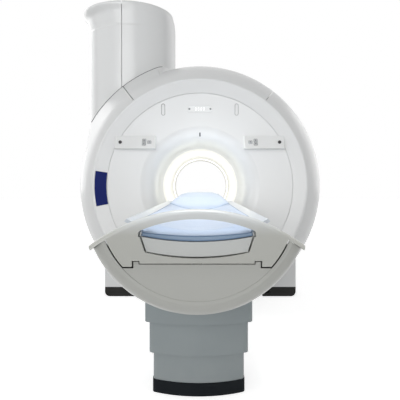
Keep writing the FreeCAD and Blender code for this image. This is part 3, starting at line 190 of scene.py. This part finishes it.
def makeLitTopGroup():
    # painted light: a colour that turns paler between two heights, for tops lit from above
    group, start, end = newGroup("paintedTopLight", {
        "Color": ("Color", (0.4, 0.4, 0.4, 1)), "Lit Color": ("Color", (0.6, 0.6, 0.6, 1)),
        "From": ("Float", 0.8), "To": ("Float", 0.9)}, {"Color": "Color"})
    values = start.outputs
    height = heightOf(group, objectPlace(group))
    level = spread(group, height, values["From"], values["To"], 0.0, 1.0)
    tone = mixColor(group, level, values["Color"], values["Lit Color"])
    setInputs(group, end, {"Color": tone})
    return group


mouldGroup = makeMouldGroup()
metalGroup = makeMetalGroup()
clothGroup = makeClothGroup()
litTopGroup = makeLitTopGroup()


def newMaterial(name, group, skinValues, shaderValues, bump, depth):
    material = bpy.data.materials.new(name)
    material.use_nodes = True
    tree = material.node_tree
    skin = addNode(tree, "ShaderNodeGroup", skinValues, node_tree=group)
    raised = addNode(tree, "ShaderNodeBump",
                     {"Strength": bump, "Distance": depth, "Height": skin.outputs["Height"]})
    setInputs(tree, tree.nodes["Principled BSDF"],
              {"Base Color": skin.outputs["Color"], "Roughness": skin.outputs["Roughness"],
               "Normal": raised.outputs[0], **shaderValues})
    material.diffuse_color = skinValues["Color"]
    return material


def mould(name, color, glossLow, glossHigh, coat=0.25, dust=0.05, drift=0.03, grain=900.0,
          bump=0.05, ior=1.48):
    return newMaterial(name, mouldGroup,
                       {"Color": (*color, 1), "Grain Scale": grain, "Drift": drift,
                        "Gloss Low": glossLow, "Gloss High": glossHigh, "Dust": dust},
                       {"Coat Weight": coat, "Coat Roughness": skins["coatRoughness"], "IOR": ior},
                       bump, skins["mouldDepth"])


def metal(name, color, glossLow, glossHigh, stretch=(400.0, 6.0, 400.0)):
    return newMaterial(name, metalGroup,
                       {"Color": (*color, 1), "Stretch": stretch, "Gloss Low": glossLow,
                        "Gloss High": glossHigh},
                       {"Metallic": 1.0}, skins["metalBump"], skins["metalDepth"])


def cloth(name, color, thread, wrinkle):
    return newMaterial(name, clothGroup,
                       {"Color": (*color, 1), "Thread Color": (*thread, 1), "Wrinkle": wrinkle},
                       {"Sheen Weight": 0.25, "Sheen Roughness": 0.4, "Coat Weight": 0.08,
                        "IOR": 1.45},
                       skins["clothBump"], skins["clothDepth"])


def light(name, color, strength):
    material = mould(name, color, 0.3, 0.4, coat=0.0, dust=0.0)
    setInputs(material.node_tree, material.node_tree.nodes["Principled BSDF"],
              {"Emission Color": (*color, 1), "Emission Strength": strength})
    return material


# one finish for each of the record's slots
materials = {
    "cover_white": mould("coverWhite", (0.72, 0.73, 0.73), 0.30, 0.34, coat=0.45, dust=0.1,
                         drift=0.015),
    # painted shade: the table's plastic is the covers' white painted darker, for the lower light
    # it gets
    "table_grey": mould("tableShadedGrey", (0.402, 0.407, 0.382), 0.34, 0.40, coat=0.5),
    "column_grey": mould("columnGrey", (0.238, 0.272, 0.282), 0.40, 0.48, coat=0.05, dust=0.2),
    "black_plinth": mould("plinthBlack", (0.003, 0.005, 0.007), 0.55, 0.7, coat=0.0, dust=0.004,
                          ior=1.22),
    "bore_white": mould("boreWhite", (0.9, 0.9, 0.86), 0.3, 0.4, coat=0.3, dust=0.0),
    "foot_black": mould("footBlack", (0.011, 0.011, 0.010), 0.55, 0.7, coat=0.0, dust=0.01,
                        ior=1.3),
    "window_dark": mould("windowDark", (0.13, 0.13, 0.135), 0.08, 0.14, coat=0.6, bump=0.0),
    "display_white": mould("displayWhite", (0.70, 0.71, 0.71), 0.1, 0.16, coat=0.6, bump=0.0),
    "plate_blue": mould("plateBlue", (0.008, 0.016, 0.12), 0.5, 0.6, coat=0.0, bump=0.01,
                        ior=1.2),
    "key_grey": mould("keyGrey", (0.50, 0.51, 0.52), 0.42, 0.5, coat=0.0),
    "button_black": mould("buttonBlack", (0.015, 0.015, 0.016), 0.3, 0.4, coat=0.2),
    "top_white": mould("topWhite", (0.51, 0.525, 0.515), 0.3, 0.38, coat=0.3, dust=0.0),
    "epoxy": mould("castResin", (0.18, 0.16, 0.10), 0.35, 0.5, coat=0.3, drift=0.2),
    "belt_black": mould("beltRubber", (0.02, 0.02, 0.02), 0.6, 0.75, coat=0.0, grain=500.0,
                        bump=0.2),
    "motor_grey": mould("motorGrey", (0.09, 0.095, 0.10), 0.4, 0.5, coat=0.0),
    "steel_tank": metal("tankSteel", (0.55, 0.56, 0.57), 0.28, 0.45),
    "shield_alu": metal("shieldAluminium", (0.75, 0.76, 0.77), 0.2, 0.32),
    "frame_alu": metal("frameAluminium", (0.68, 0.69, 0.70), 0.3, 0.42),
    "coil_copper": metal("coilCopper", (0.62, 0.30, 0.16), 0.3, 0.5, stretch=(60.0, 900.0, 60.0)),
    "pad_blue": cloth("padBlue", (0.50, 0.60, 0.76), (0.44, 0.55, 0.72), wrinkle=0.15),
    "light_band": light("lightBand", (1.0, 0.98, 0.90), strength=1.6),
}
# pieces that share a slot but have a colour of their own; the panels' and the handle's stand for
# painted light and shade
# painted light: the control panels' white, painted lighter than the covers' for the less light
# their sloped faces get
panelLitWhite = mould("panelLitWhite", (0.79, 0.80, 0.795), 0.32, 0.38, coat=0.3, dust=0.0, drift=0.01)
# painted shade: the handle frame's plastic painted darker than the covers' white, like the
# table's; its arch is painted paler again as painted light
handleShadedGrey = mould("handleShadedGrey", (0.415, 0.42, 0.39), 0.30, 0.36, coat=0.5)
beadBlue = cloth("beadBlue", (0.16, 0.25, 0.40), (0.12, 0.20, 0.33), wrinkle=0.0)
beadPale = cloth("beadPale", (0.46, 0.56, 0.72), (0.40, 0.50, 0.68), wrinkle=0.0)
markGrey = mould("markGrey", (0.22, 0.23, 0.24), 0.45, 0.55, coat=0.0, dust=0.0, bump=0.0)
markDark = mould("markDark", (0.035, 0.037, 0.04), 0.45, 0.55, coat=0.0, dust=0.0, bump=0.0)
markPale = mould("markPale", (0.30, 0.305, 0.31), 0.40, 0.50, coat=0.1, dust=0.0, bump=0.0)
digitWhite = light("digitWhite", (1.0, 1.0, 1.0), strength=0.45)

# painted shade: a darker blue on the mattress's sides and rims, for the shade they fall in
sideShade = {"color": (0.27, 0.37, 0.50), "thread": (0.21, 0.30, 0.43), "turn": (0.42, 0.52)}
# heights between which a piece is painted paler, as painted light from above, and the lit colour
archLitTop = {"From": 0.840, "To": 0.900, "Lit Color": (0.58, 0.605, 0.61, 1)}
sidesLitTop = {"From": 0.842, "To": 0.870, "Lit Color": (0.58, 0.62, 0.67, 1)}


def skinOf(tree):
    # the group that newMaterial placed
    return next(node for node in tree.nodes if node.type == "GROUP")


def addSideShade(material):
    # painted shade: darker blue cloth where the pad's own mask says that its face turns over, for
    # the shade on its sides
    tree = material.node_tree
    skin = skinOf(tree)
    edge = addNode(tree, "ShaderNodeGroup",
                   {"Color": (*sideShade["color"], 1), "Thread Color": (*sideShade["thread"], 1)},
                   node_tree=clothGroup)
    mask = addNode(tree, "ShaderNodeAttribute", attribute_name="sideShade")
    level = spread(tree, mask.outputs["Fac"], *sideShade["turn"], 0.0, 1.0)
    tone = mixColor(tree, level, skin.outputs["Color"], edge.outputs["Color"])
    setInputs(tree, tree.nodes["Principled BSDF"], {"Base Color": tone})


def paintLitTop(material, values):
    # painted light: the handle's arch and the tabletop's sides are painted paler than what lies
    # below them, as if lit from above
    tree = material.node_tree
    skin = skinOf(tree)
    litTop = addNode(tree, "ShaderNodeGroup", {"Color": skin.outputs["Color"], **values},
                    node_tree=litTopGroup)
    setInputs(tree, tree.nodes["Principled BSDF"], {"Base Color": litTop.outputs["Color"]})


addSideShade(materials["pad_blue"])
paintLitTop(handleShadedGrey, archLitTop)
paintLitTop(materials["top_white"], sidesLitTop)

slotOf = {entry["node"]: entry["material_slot"] for entry in frame["record"]["subparts"]}
for name, piece in nodes.items():
    piece.data.materials.clear()
    piece.data.materials.append(materials[slotOf[name]])
for name, material in (("left_control_panel", panelLitWhite), ("right_control_panel", panelLitWhite),
                       ("handle_frame", handleShadedGrey)):
    nodes[name].data.materials[0] = material
print("materials done")


def addObject(name, data):
    item = bpy.data.objects.new(name, data)
    bpy.context.scene.collection.objects.link(item)
    return item


def addPiece(name, mesh, material, body, smooth=True):
    piece = addObject(name, mesh)
    mesh.materials.clear()
    mesh.materials.append(material)
    if smooth:
        mesh.shade_smooth()
    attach(piece, body)
    return piece


def meshOf(builder):
    mesh = bpy.data.meshes.new("work")
    builder.to_mesh(mesh)
    builder.free()
    return mesh


def joined(meshes):
    work = bmesh.new()
    for mesh in meshes:
        work.from_mesh(mesh)
        bpy.data.meshes.remove(mesh)
    return meshOf(work)


def finalMesh(item):
    # a new mesh of an object as its modifiers or its curve's bevel leave it
    graph = bpy.context.evaluated_depsgraph_get()
    return bpy.data.meshes.new_from_object(item.evaluated_get(graph))


def bake(piece):
    mesh = finalMesh(piece)
    piece.modifiers.clear()
    piece.data = mesh


def beadLoop(points, radius):
    # a thin round bead along the closed line through the points
    curve = bpy.data.curves.new("bead", "CURVE")
    curve.dimensions = "3D"
    curve.bevel_depth = radius
    curve.bevel_resolution = 2
    spline = curve.splines.new("POLY")
    spline.points.add(len(points) - 1)
    for spot, point in zip(spline.points, points):
        spot.co = (*point, 1.0)
    spline.use_cyclic_u = True
    holder = addObject("beadLine", curve)
    mesh = finalMesh(holder)
    bpy.data.objects.remove(holder)
    return mesh


# mattress and head cushion: blown up as cloth and held below, with piping, and a darker blue
# painted on the mattress's sides as painted shade
pads = {"across": 48, "along": 0.011, "walls": 3,       # cells across, cell length, cuts in a wall
        "inset": 0.0022, "soften": 2, "relax": 2, "smoothing": 0.5,
        "pressure": 4.0, "quality": 4, "mass": 0.2, "frames": 20,
        "cap": 0.0050,                                  # how far a point may move
        "heldBelow": -0.35,                             # a normal lower than this is held
        "rim": 0.9999, "slack": 0.000001,
        "wallMask": 1.0, "rimMask": 0.5,
        "beadRadius": 0.0016, "beadOut": 0.2}
# half width, and height at the side and in the middle, below and above, at places along Y
footLow, footTop = (0.186, 0.8372, 0.8181), (0.186, 0.8522, 0.8391)
cradleLow, cradleTop = (0.199, 0.8701, 0.8181), (0.196, 0.8901, 0.8461)
wedgeLow = (0.196, 0.8907, 0.8467)
padSections = {
    "mattress": ((-3.008, footLow, footTop), (-2.982, footLow, footTop),
                 (-2.951, cradleLow, cradleTop), (-0.926, cradleLow, cradleTop)),
    "head_cushion": ((-1.640, wedgeLow, (0.188, 0.8932, 0.8517)),
                     (-1.130, wedgeLow, (0.138, 0.942, 0.947)),
                     (-0.940, wedgeLow, (0.124, 0.947, 0.952)))}


def inflate(piece):
    # cloth pressure on the free faces, with how far a point may go capped
    rest = [point.co.copy() for point in piece.data.vertices]
    low = [point.index for point in piece.data.vertices if point.normal.z < pads["heldBelow"]]
    piece.vertex_groups.new(name="held").add(low, 1.0, "REPLACE")
    blow = piece.modifiers.new("blow", "CLOTH")
    blow.settings.quality = pads["quality"]
    blow.settings.mass = pads["mass"]
    blow.settings.use_pressure = True
    blow.settings.uniform_pressure_force = pads["pressure"]
    blow.settings.effector_weights.gravity = 0.0
    blow.settings.vertex_group_mass = "held"
    blow.point_cache.frame_start = 1
    blow.point_cache.frame_end = pads["frames"]
    scene = bpy.context.scene
    for step in range(1, pads["frames"] + 1):
        scene.frame_set(step)
    blown = piece.evaluated_get(bpy.context.evaluated_depsgraph_get())
    moved = [point.co.copy() for point in blown.to_mesh().vertices]
    blown.to_mesh_clear()
    piece.modifiers.clear()
    scene.frame_set(1)
    for point, start, end in zip(piece.data.vertices, rest, moved):
        way = end - start
        far = way.length
        point.co = start + way * (min(far, pads["cap"]) / far if far > 0 else 0.0)
    return len(rest)


def blended(first, second, share):
    return [one + (other - one) * share for one, other in zip(first, second)]


def padSpot(sections, across, along, up):
    # across and along run from -1 to 1, up from 0 to 1
    y = sections[0][0] + (sections[-1][0] - sections[0][0]) * (along + 1) / 2
    for near, far in zip(sections, sections[1:]):
        if y <= far[0] + pads["slack"]:
            share = (y - near[0]) / (far[0] - near[0])
            break
    low = blended(near[1], far[1], share)
    top = blended(near[2], far[2], share)
    half, side, middle = blended(low, top, up)
    return Vector((half * across, y, middle + (side - middle) * across ** 2))


def padMesh(sections):
    # an even closed sheet bent to the sections, with its rims' point numbers in order
    work = bmesh.new()
    length = sections[-1][0] - sections[0][0]
    bmesh.ops.create_grid(work, x_segments=pads["across"],
                          y_segments=round(length / pads["along"]), size=1.0)
    raised = bmesh.ops.extrude_face_region(work, geom=work.faces[:], use_keep_orig=True)
    top = [item for item in raised["geom"] if isinstance(item, bmesh.types.BMVert)]
    bmesh.ops.translate(work, verts=top, vec=(0.0, 0.0, 1.0))
    upright = [edge for edge in work.edges
               if abs(edge.verts[0].co.z - edge.verts[1].co.z) > 0.5]
    bmesh.ops.subdivide_edges(work, edges=upright, cuts=pads["walls"], use_grid_fill=True)
    work.verts.index_update()
    rims = {0.0: [], 1.0: []}
    walls = []
    for point in work.verts:
        across, along, up = point.co
        if max(abs(across), abs(along)) > pads["rim"]:
            if round(up, 3) in rims:
                rims[round(up, 3)].append((math.atan2(along, across), point.index))
            else:
                walls.append(point.index)
        point.co = padSpot(sections, across, along, up)
    bmesh.ops.recalc_face_normals(work, faces=work.faces)
    lowRim, topRim = ([n for turn, n in sorted(rims[up])] for up in (0.0, 1.0))
    return meshOf(work), topRim, lowRim, walls


def smoothen(piece, iterations):
    smooth = piece.modifiers.new("smooth", "SMOOTH")
    smooth.factor = pads["smoothing"]
    smooth.iterations = iterations


def makePad(node, name, body, sideShaded):
    mesh, topRim, lowRim, walls = padMesh(padSections[node])
    piece = addPiece(name, mesh, materials["pad_blue"], body)
    smoothen(piece, pads["soften"])
    inset = piece.modifiers.new("inset", "DISPLACE")
    inset.mid_level = 0.0
    inset.strength = -pads["inset"]
    bake(piece)
    count = 0
    count = inflate(piece)
    smoothen(piece, pads["relax"])
    bake(piece)
    # mask of the mattress's sides and rims, which get the painted shade
    mask = piece.data.attributes.new("sideShade", "FLOAT", "POINT")
    if sideShaded:
        for n in walls:
            mask.data[n].value = pads["wallMask"]
        for n in topRim + lowRim:
            mask.data[n].value = pads["rimMask"]
    piece.data.shade_smooth()
    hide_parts(node)
    print(name, "made, cloth run on", count, "points")
    return piece, topRim, lowRim


def addPiping(pad, name, rim, material):
    # a welted seam that follows the pad's corner all round
    points = [pad.data.vertices[n] for n in rim]
    spots = [point.co + point.normal * pads["beadRadius"] * pads["beadOut"] for point in points]
    addPiece(name, beadLoop(spots, pads["beadRadius"]), material, "tabletop")


mattress, mattressTop, mattressLow = makePad("mattress", "mattressPad", "tabletop", sideShaded=True)
cushion, cushionTop = makePad("head_cushion", "headCushionPad", "tabletop", sideShaded=False)[:2]
addPiping(mattress, "mattressTopPiping", mattressTop, beadBlue)
addPiping(mattress, "mattressLowPiping", mattressLow, beadBlue)
addPiping(cushion, "cushionPiping", cushionTop, beadPale)
print("piping done")


# small flat parts that face the front: centre is on the front face, depth goes back
def addPlate(work, centre, half, corner, depth):
    # a plate with rounded corners, from its half width and half height
    part = bmesh.new()
    bmesh.ops.create_grid(part, x_segments=1, y_segments=1, size=1.0)
    bmesh.ops.scale(part, verts=part.verts, vec=(half[0], half[1], 1.0))
    bmesh.ops.bevel(part, geom=part.verts[:], offset=corner, offset_type="OFFSET", segments=3,
                    profile=0.5, affect="VERTICES", material=-1)
    finishPlate(work, part, centre, depth, 0.0)


def addMark(work, centre, radius, corners, depth, turn=0.0, tilt=0.0):
    # a dot, or an arrow where it has three corners
    part = bmesh.new()
    bmesh.ops.create_circle(part, cap_ends=True, segments=corners, radius=radius)
    bmesh.ops.rotate(part, verts=part.verts, matrix=Matrix.Rotation(turn, 3, "Z"))
    finishPlate(work, part, centre, depth, tilt)


def finishPlate(work, part, centre, depth, tilt):
    raised = bmesh.ops.extrude_face_region(part, geom=part.faces[:], use_keep_orig=True)
    back = [item for item in raised["geom"] if isinstance(item, bmesh.types.BMVert)]
    bmesh.ops.translate(part, verts=back, vec=(0.0, 0.0, -depth))
    bmesh.ops.recalc_face_normals(part, faces=part.faces)
    upright = Matrix.Rotation(math.radians(90.0) - tilt, 3, "X")
    bmesh.ops.rotate(part, verts=part.verts, matrix=upright)
    bmesh.ops.translate(part, verts=part.verts, vec=centre)
    mesh = meshOf(part)
    work.from_mesh(mesh)
    bpy.data.meshes.remove(mesh)


# display: four plain digits between two dots, on the window's face
display = {"pitch": 0.0195, "digit": (0.0042, 0.0105),      # half width and half height
           "stroke": 0.0009, "tip": 1.2, "corner": 0.6,     # tip and corner in strokes
           "proud": 0.0004, "dotX": 0.077, "dotRadius": 0.0075, "dotCorners": 24,
           "shown": ((1, 1, 1, 1, 1, 1, 0),) * 4}           # lit bars, as segmentPlaces has them


def segmentPlaces():
    # middle and half sizes of a digit's seven bars: clockwise from the top, then the middle
    wide, high = display["digit"]
    thick = display["stroke"]
    flat = (wide - thick * display["tip"], thick)
    tall = (thick, high / 2 - thick * display["tip"])
    return (((0, high), flat), ((wide, high / 2), tall), ((wide, -high / 2), tall),
            ((0, -high), flat), ((-wide, -high / 2), tall), ((-wide, high / 2), tall),
            ((0, 0), flat))


def makeDisplay():
    low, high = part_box("display_window")
    front = low[1] - display["proud"]
    middleX = (low[0] + high[0]) / 2
    middleZ = (low[2] + high[2]) / 2
    corner = display["stroke"] * display["corner"]
    digits = bmesh.new()
    for place, lit in enumerate(display["shown"]):
        start = middleX + (place - (len(display["shown"]) - 1) / 2) * display["pitch"]
        for on, ((x, z), half) in zip(lit, segmentPlaces()):
            if on:
                addPlate(digits, (start + x, front, middleZ + z), half, corner, display["proud"])
    addPiece("displayDigits", meshOf(digits), digitWhite, "magnet", smooth=False)
    dots = bmesh.new()
    for x in (-display["dotX"], display["dotX"]):
        addMark(dots, (middleX + x, front, middleZ), display["dotRadius"], display["dotCorners"],
                display["proud"])
    addPiece("displayDots", meshOf(dots), markGrey, "magnet", smooth=False)


makeDisplay()


# control panels: an arrow on each key and a frame round it
panel = {"tilt": math.atan2(34.0, 95.0), "facing": 0.995,   # slope of the front, how well met
         "arrow": 0.0052, "proud": 0.0003, "keyHalf": (0.012, 0.011),
         "frame": 0.0009, "frameGap": 0.0014, "frameSunk": 0.0042, "frameCorner": 0.003,
         "cornerSteps": 4, "keyTurns": {"up": 0.0, "down": 180.0, "travel": -90.0}}


def frontOf(node):
    # middle of the node's sloped front face and its outward normal
    facing = Vector((0.0, -math.cos(panel["tilt"]), math.sin(panel["tilt"])))
    spots = [face.center.copy() for face in nodes[node].data.polygons
             if face.normal.dot(facing) > panel["facing"]]
    middle = sum(spots, Vector()) / len(spots)
    low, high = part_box(node)
    return Vector(((low[0] + high[0]) / 2, middle.y, middle.z)), facing


def roundedLoop(half, corner, count):
    # points round a rectangle with rounded corners, in its own plane
    spots = []
    for n, (sideX, sideZ) in enumerate(((1, 1), (-1, 1), (-1, -1), (1, -1))):
        for step in range(count + 1):
            angle = math.radians(90.0 * (n + step / count))
            spots.append(((half[0] - corner) * sideX + corner * math.cos(angle),
                          (half[1] - corner) * sideZ + corner * math.sin(angle)))
    return spots


def makePanelMarks(side, mirror):
    slope = Matrix.Rotation(-panel["tilt"], 3, "X")
    half = [size + panel["frameGap"] for size in panel["keyHalf"]]
    loop = roundedLoop(half, panel["frameCorner"], panel["cornerSteps"])
    frames = []
    for key, turn in panel["keyTurns"].items():
        node = side + "_key_" + key
        spot, facing = frontOf(node)
        mark = bmesh.new()
        addMark(mark, spot + facing * panel["proud"], panel["arrow"], 3, panel["proud"],
                math.radians(turn * mirror), panel["tilt"])
        addPiece(side + "Arrow" + key.capitalize(), meshOf(mark), markDark, node,
                 smooth=False)
        sunk = spot - facing * panel["frameSunk"]
        points = [sunk + slope @ Vector((x, 0.0, z)) for x, z in loop]
        frames.append(beadLoop(points, panel["frame"]))
    addPiece(side + "KeyFrames", joined(frames), markGrey, "magnet")


makePanelMarks("left", 1)
makePanelMarks("right", -1)
print("display and panels done")


# rims of the two slots in the dish, which slopes from flatY at the radius flatR
rims = {"x": 0.268, "z": 1.558, "half": (0.0120, 0.0410), "corner": 0.0114, "cornerSteps": 6,
        "bead": 0.0016, "axisZ": 1.0, "flatR": 0.440, "flatY": -1.215, "slope": -0.0844}


def dishY(x, z):
    return rims["flatY"] + (math.hypot(x, z - rims["axisZ"]) - rims["flatR"]) * rims["slope"]


def makeRims():
    loop = roundedLoop(rims["half"], rims["corner"], rims["cornerSteps"])
    beads = []
    for side in (-1, 1):
        spots = [(side * rims["x"] + x, rims["z"] + z) for x, z in loop]
        beads.append(beadLoop([Vector((x, dishY(x, z), z)) for x, z in spots], rims["bead"]))
    addPiece("slotRims", joined(beads), markPale, "magnet")


# dark seal along the shoulder's edge, in arcs: centre, radius, from and to degrees, steps; the
# second arc carries it on round the rise's end as painted shade
sealAndShade = {"front": -0.9462, "back": -0.926, "thick": 0.003, "merge": 0.00001,
        "runs": (((0.0, 1.0), 1.0012, 109.9, 149.6, 80),
                 ((-0.3027, 1.8316), 0.1162, 88.0, 110.0, 16))}


def sealAndShadeArc(centre, radius, start, end, steps):
    # a strip turned about an axis along Y
    part = bmesh.new()
    middle = (centre[0], 0.0, centre[1])
    bmesh.ops.create_grid(part, x_segments=1, y_segments=1, size=0.5)
    bmesh.ops.scale(part, verts=part.verts,
                    vec=(sealAndShade["thick"], sealAndShade["back"] - sealAndShade["front"], 1.0))
    bmesh.ops.translate(part, verts=part.verts,
                        vec=(centre[0] + radius, (sealAndShade["back"] + sealAndShade["front"]) / 2, centre[1]))
    turn = Matrix.Rotation(-math.radians(start), 3, "Y")
    bmesh.ops.rotate(part, verts=part.verts, cent=middle, matrix=turn)
    bmesh.ops.spin(part, geom=part.faces[:], cent=middle, axis=(0, -1, 0), steps=steps,
                   angle=math.radians(end - start), use_duplicate=False)
    bmesh.ops.remove_doubles(part, verts=part.verts, dist=sealAndShade["merge"])
    bmesh.ops.recalc_face_normals(part, faces=part.faces)
    return meshOf(part)


def makeSealAndShade():
    runs = [sealAndShadeArc(*run) for run in sealAndShade["runs"]]
    addPiece("shoulderSealAndShade", joined(runs), markDark, "magnet", smooth=False)


makeRims()
makeSealAndShade()
print("rims and seal done")


# floor, light and camera
stage = {"floorColor": (0.80, 0.80, 0.80), "floorGrain": (0.79, 0.79, 0.79), "floorGlow": 0.70,
         "floorRadius": 30.0, "floorCorners": 96, "worldLevel": 0.24,
         "cameraAt": (0.0166, -4.45, 1.0), "lens": 39.69, "sensor": 36.0,
         "shift": (-0.0054, -0.035),
         # degrees to the right of the front, degrees up, power, spread in degrees
         "suns": {"keyLight": (-10.0, 2.0, 1.72, 50.0), "leftLight": (-62.0, 10.0, 0.82, 70.0),
                  "rightLight": (60.0, 10.0, 0.5, 70.0), "leftRim": (-132.0, 12.0, 0.42, 40.0),
                  "rightRim": (132.0, 12.0, 0.27, 40.0)},
         # place, power, radius
         "boreLights": {"boreFront": ((0.0, -1.52, 1.10), 1.15, 0.14),
                        "boreMouth": ((0.0, -1.32, 1.17), 1.35, 0.14),
                        "boreInside": ((0.0, -0.35, 1.08), 3.0, 0.10)},
         "boreColor": (1.0, 0.985, 0.95),
         "tableLightAt": (0.0, -2.65, 2.5), "tablePower": 5.6, "tableSize": (0.9, 2.0),
         "tableSpread": 60.0}


def seenRay(tree):
    # 1 for the rays that show the white surroundings, 0 for those that light the object
    rays = addNode(tree, "ShaderNodeLightPath").outputs
    clear = calc(tree, "MAXIMUM", rays["Is Camera Ray"], rays["Is Transmission Ray"])
    return calc(tree, "MAXIMUM", clear, rays["Is Glossy Ray"])


def makeFloor():
    disc = bmesh.new()
    bmesh.ops.create_circle(disc, cap_ends=True, segments=stage["floorCorners"],
                            radius=stage["floorRadius"])
    floor = addObject("studioFloor", meshOf(disc))
    material = bpy.data.materials.new("floorPale")
    material.use_nodes = True
    tree = material.node_tree
    tree.nodes.remove(tree.nodes["Principled BSDF"])
    grain = addNoise(tree, objectPlace(tree), scale=3.0, detail=4.0)
    tone = mixColor(tree, grain, (*stage["floorColor"], 1), (*stage["floorGrain"], 1))
    matt = addNode(tree, "ShaderNodeBsdfDiffuse", {"Color": tone})
    level = calc(tree, "MULTIPLY", seenRay(tree), stage["floorGlow"])
    glow = addNode(tree, "ShaderNodeEmission", {"Color": (1, 1, 1, 1), "Strength": level})
    both = addNode(tree, "ShaderNodeAddShader", {0: matt.outputs[0], 1: glow.outputs[0]})
    setInputs(tree, tree.nodes["Material Output"], {"Surface": both.outputs[0]})
    floor.data.materials.append(material)


def makeWorld():
    world = bpy.data.worlds.new("studioWorld")
    bpy.context.scene.world = world
    world.use_nodes = True
    tree = world.node_tree
    level = spread(tree, seenRay(tree), 0.0, 1.0, stage["worldLevel"], 1.0)
    setInputs(tree, tree.nodes["Background"], {"Color": (1, 1, 1, 1), "Strength": level})


def addLamp(name, kind, power):
    data = bpy.data.lights.new(name, kind)
    data.energy = power
    return data, addObject(name, data)


def softSun(name, turn, rise, power, wide):
    # a broad even light from one direction
    data, lamp = addLamp(name, "SUN", power)
    data.angle = math.radians(wide)
    lamp.rotation_euler = (math.radians(90.0 - rise), 0.0, math.radians(turn))


def boreLight(name, place, power, radius):
    # stands for the lamps inside the bore, which light it and its mouth
    data, lamp = addLamp(name, "POINT", power)
    data.shadow_soft_size = radius
    data.color = stage["boreColor"]
    lamp.location = place
    lamp.visible_camera = False
    lamp.visible_glossy = False


def tableLight():
    data, lamp = addLamp("tableLight", "AREA", stage["tablePower"])
    data.shape = "RECTANGLE"
    data.size, data.size_y = stage["tableSize"]
    data.spread = math.radians(stage["tableSpread"])
    lamp.location = stage["tableLightAt"]
    lamp.visible_camera = False


def makeCamera():
    data = bpy.data.cameras.new("photoCamera")
    data.lens = stage["lens"]
    data.sensor_width = stage["sensor"]
    data.sensor_fit = "HORIZONTAL"
    data.shift_x, data.shift_y = stage["shift"]
    camera = addObject("photoCamera", data)
    camera.location = stage["cameraAt"]
    camera.rotation_euler = (math.radians(90), 0, 0)
    bpy.context.scene.camera = camera


makeFloor()
makeWorld()
for name, values in stage["suns"].items():
    softSun(name, *values)
for name, values in stage["boreLights"].items():
    boreLight(name, *values)
tableLight()
makeCamera()
bpy.context.scene.view_settings.view_transform = "Standard"
print("stage done")
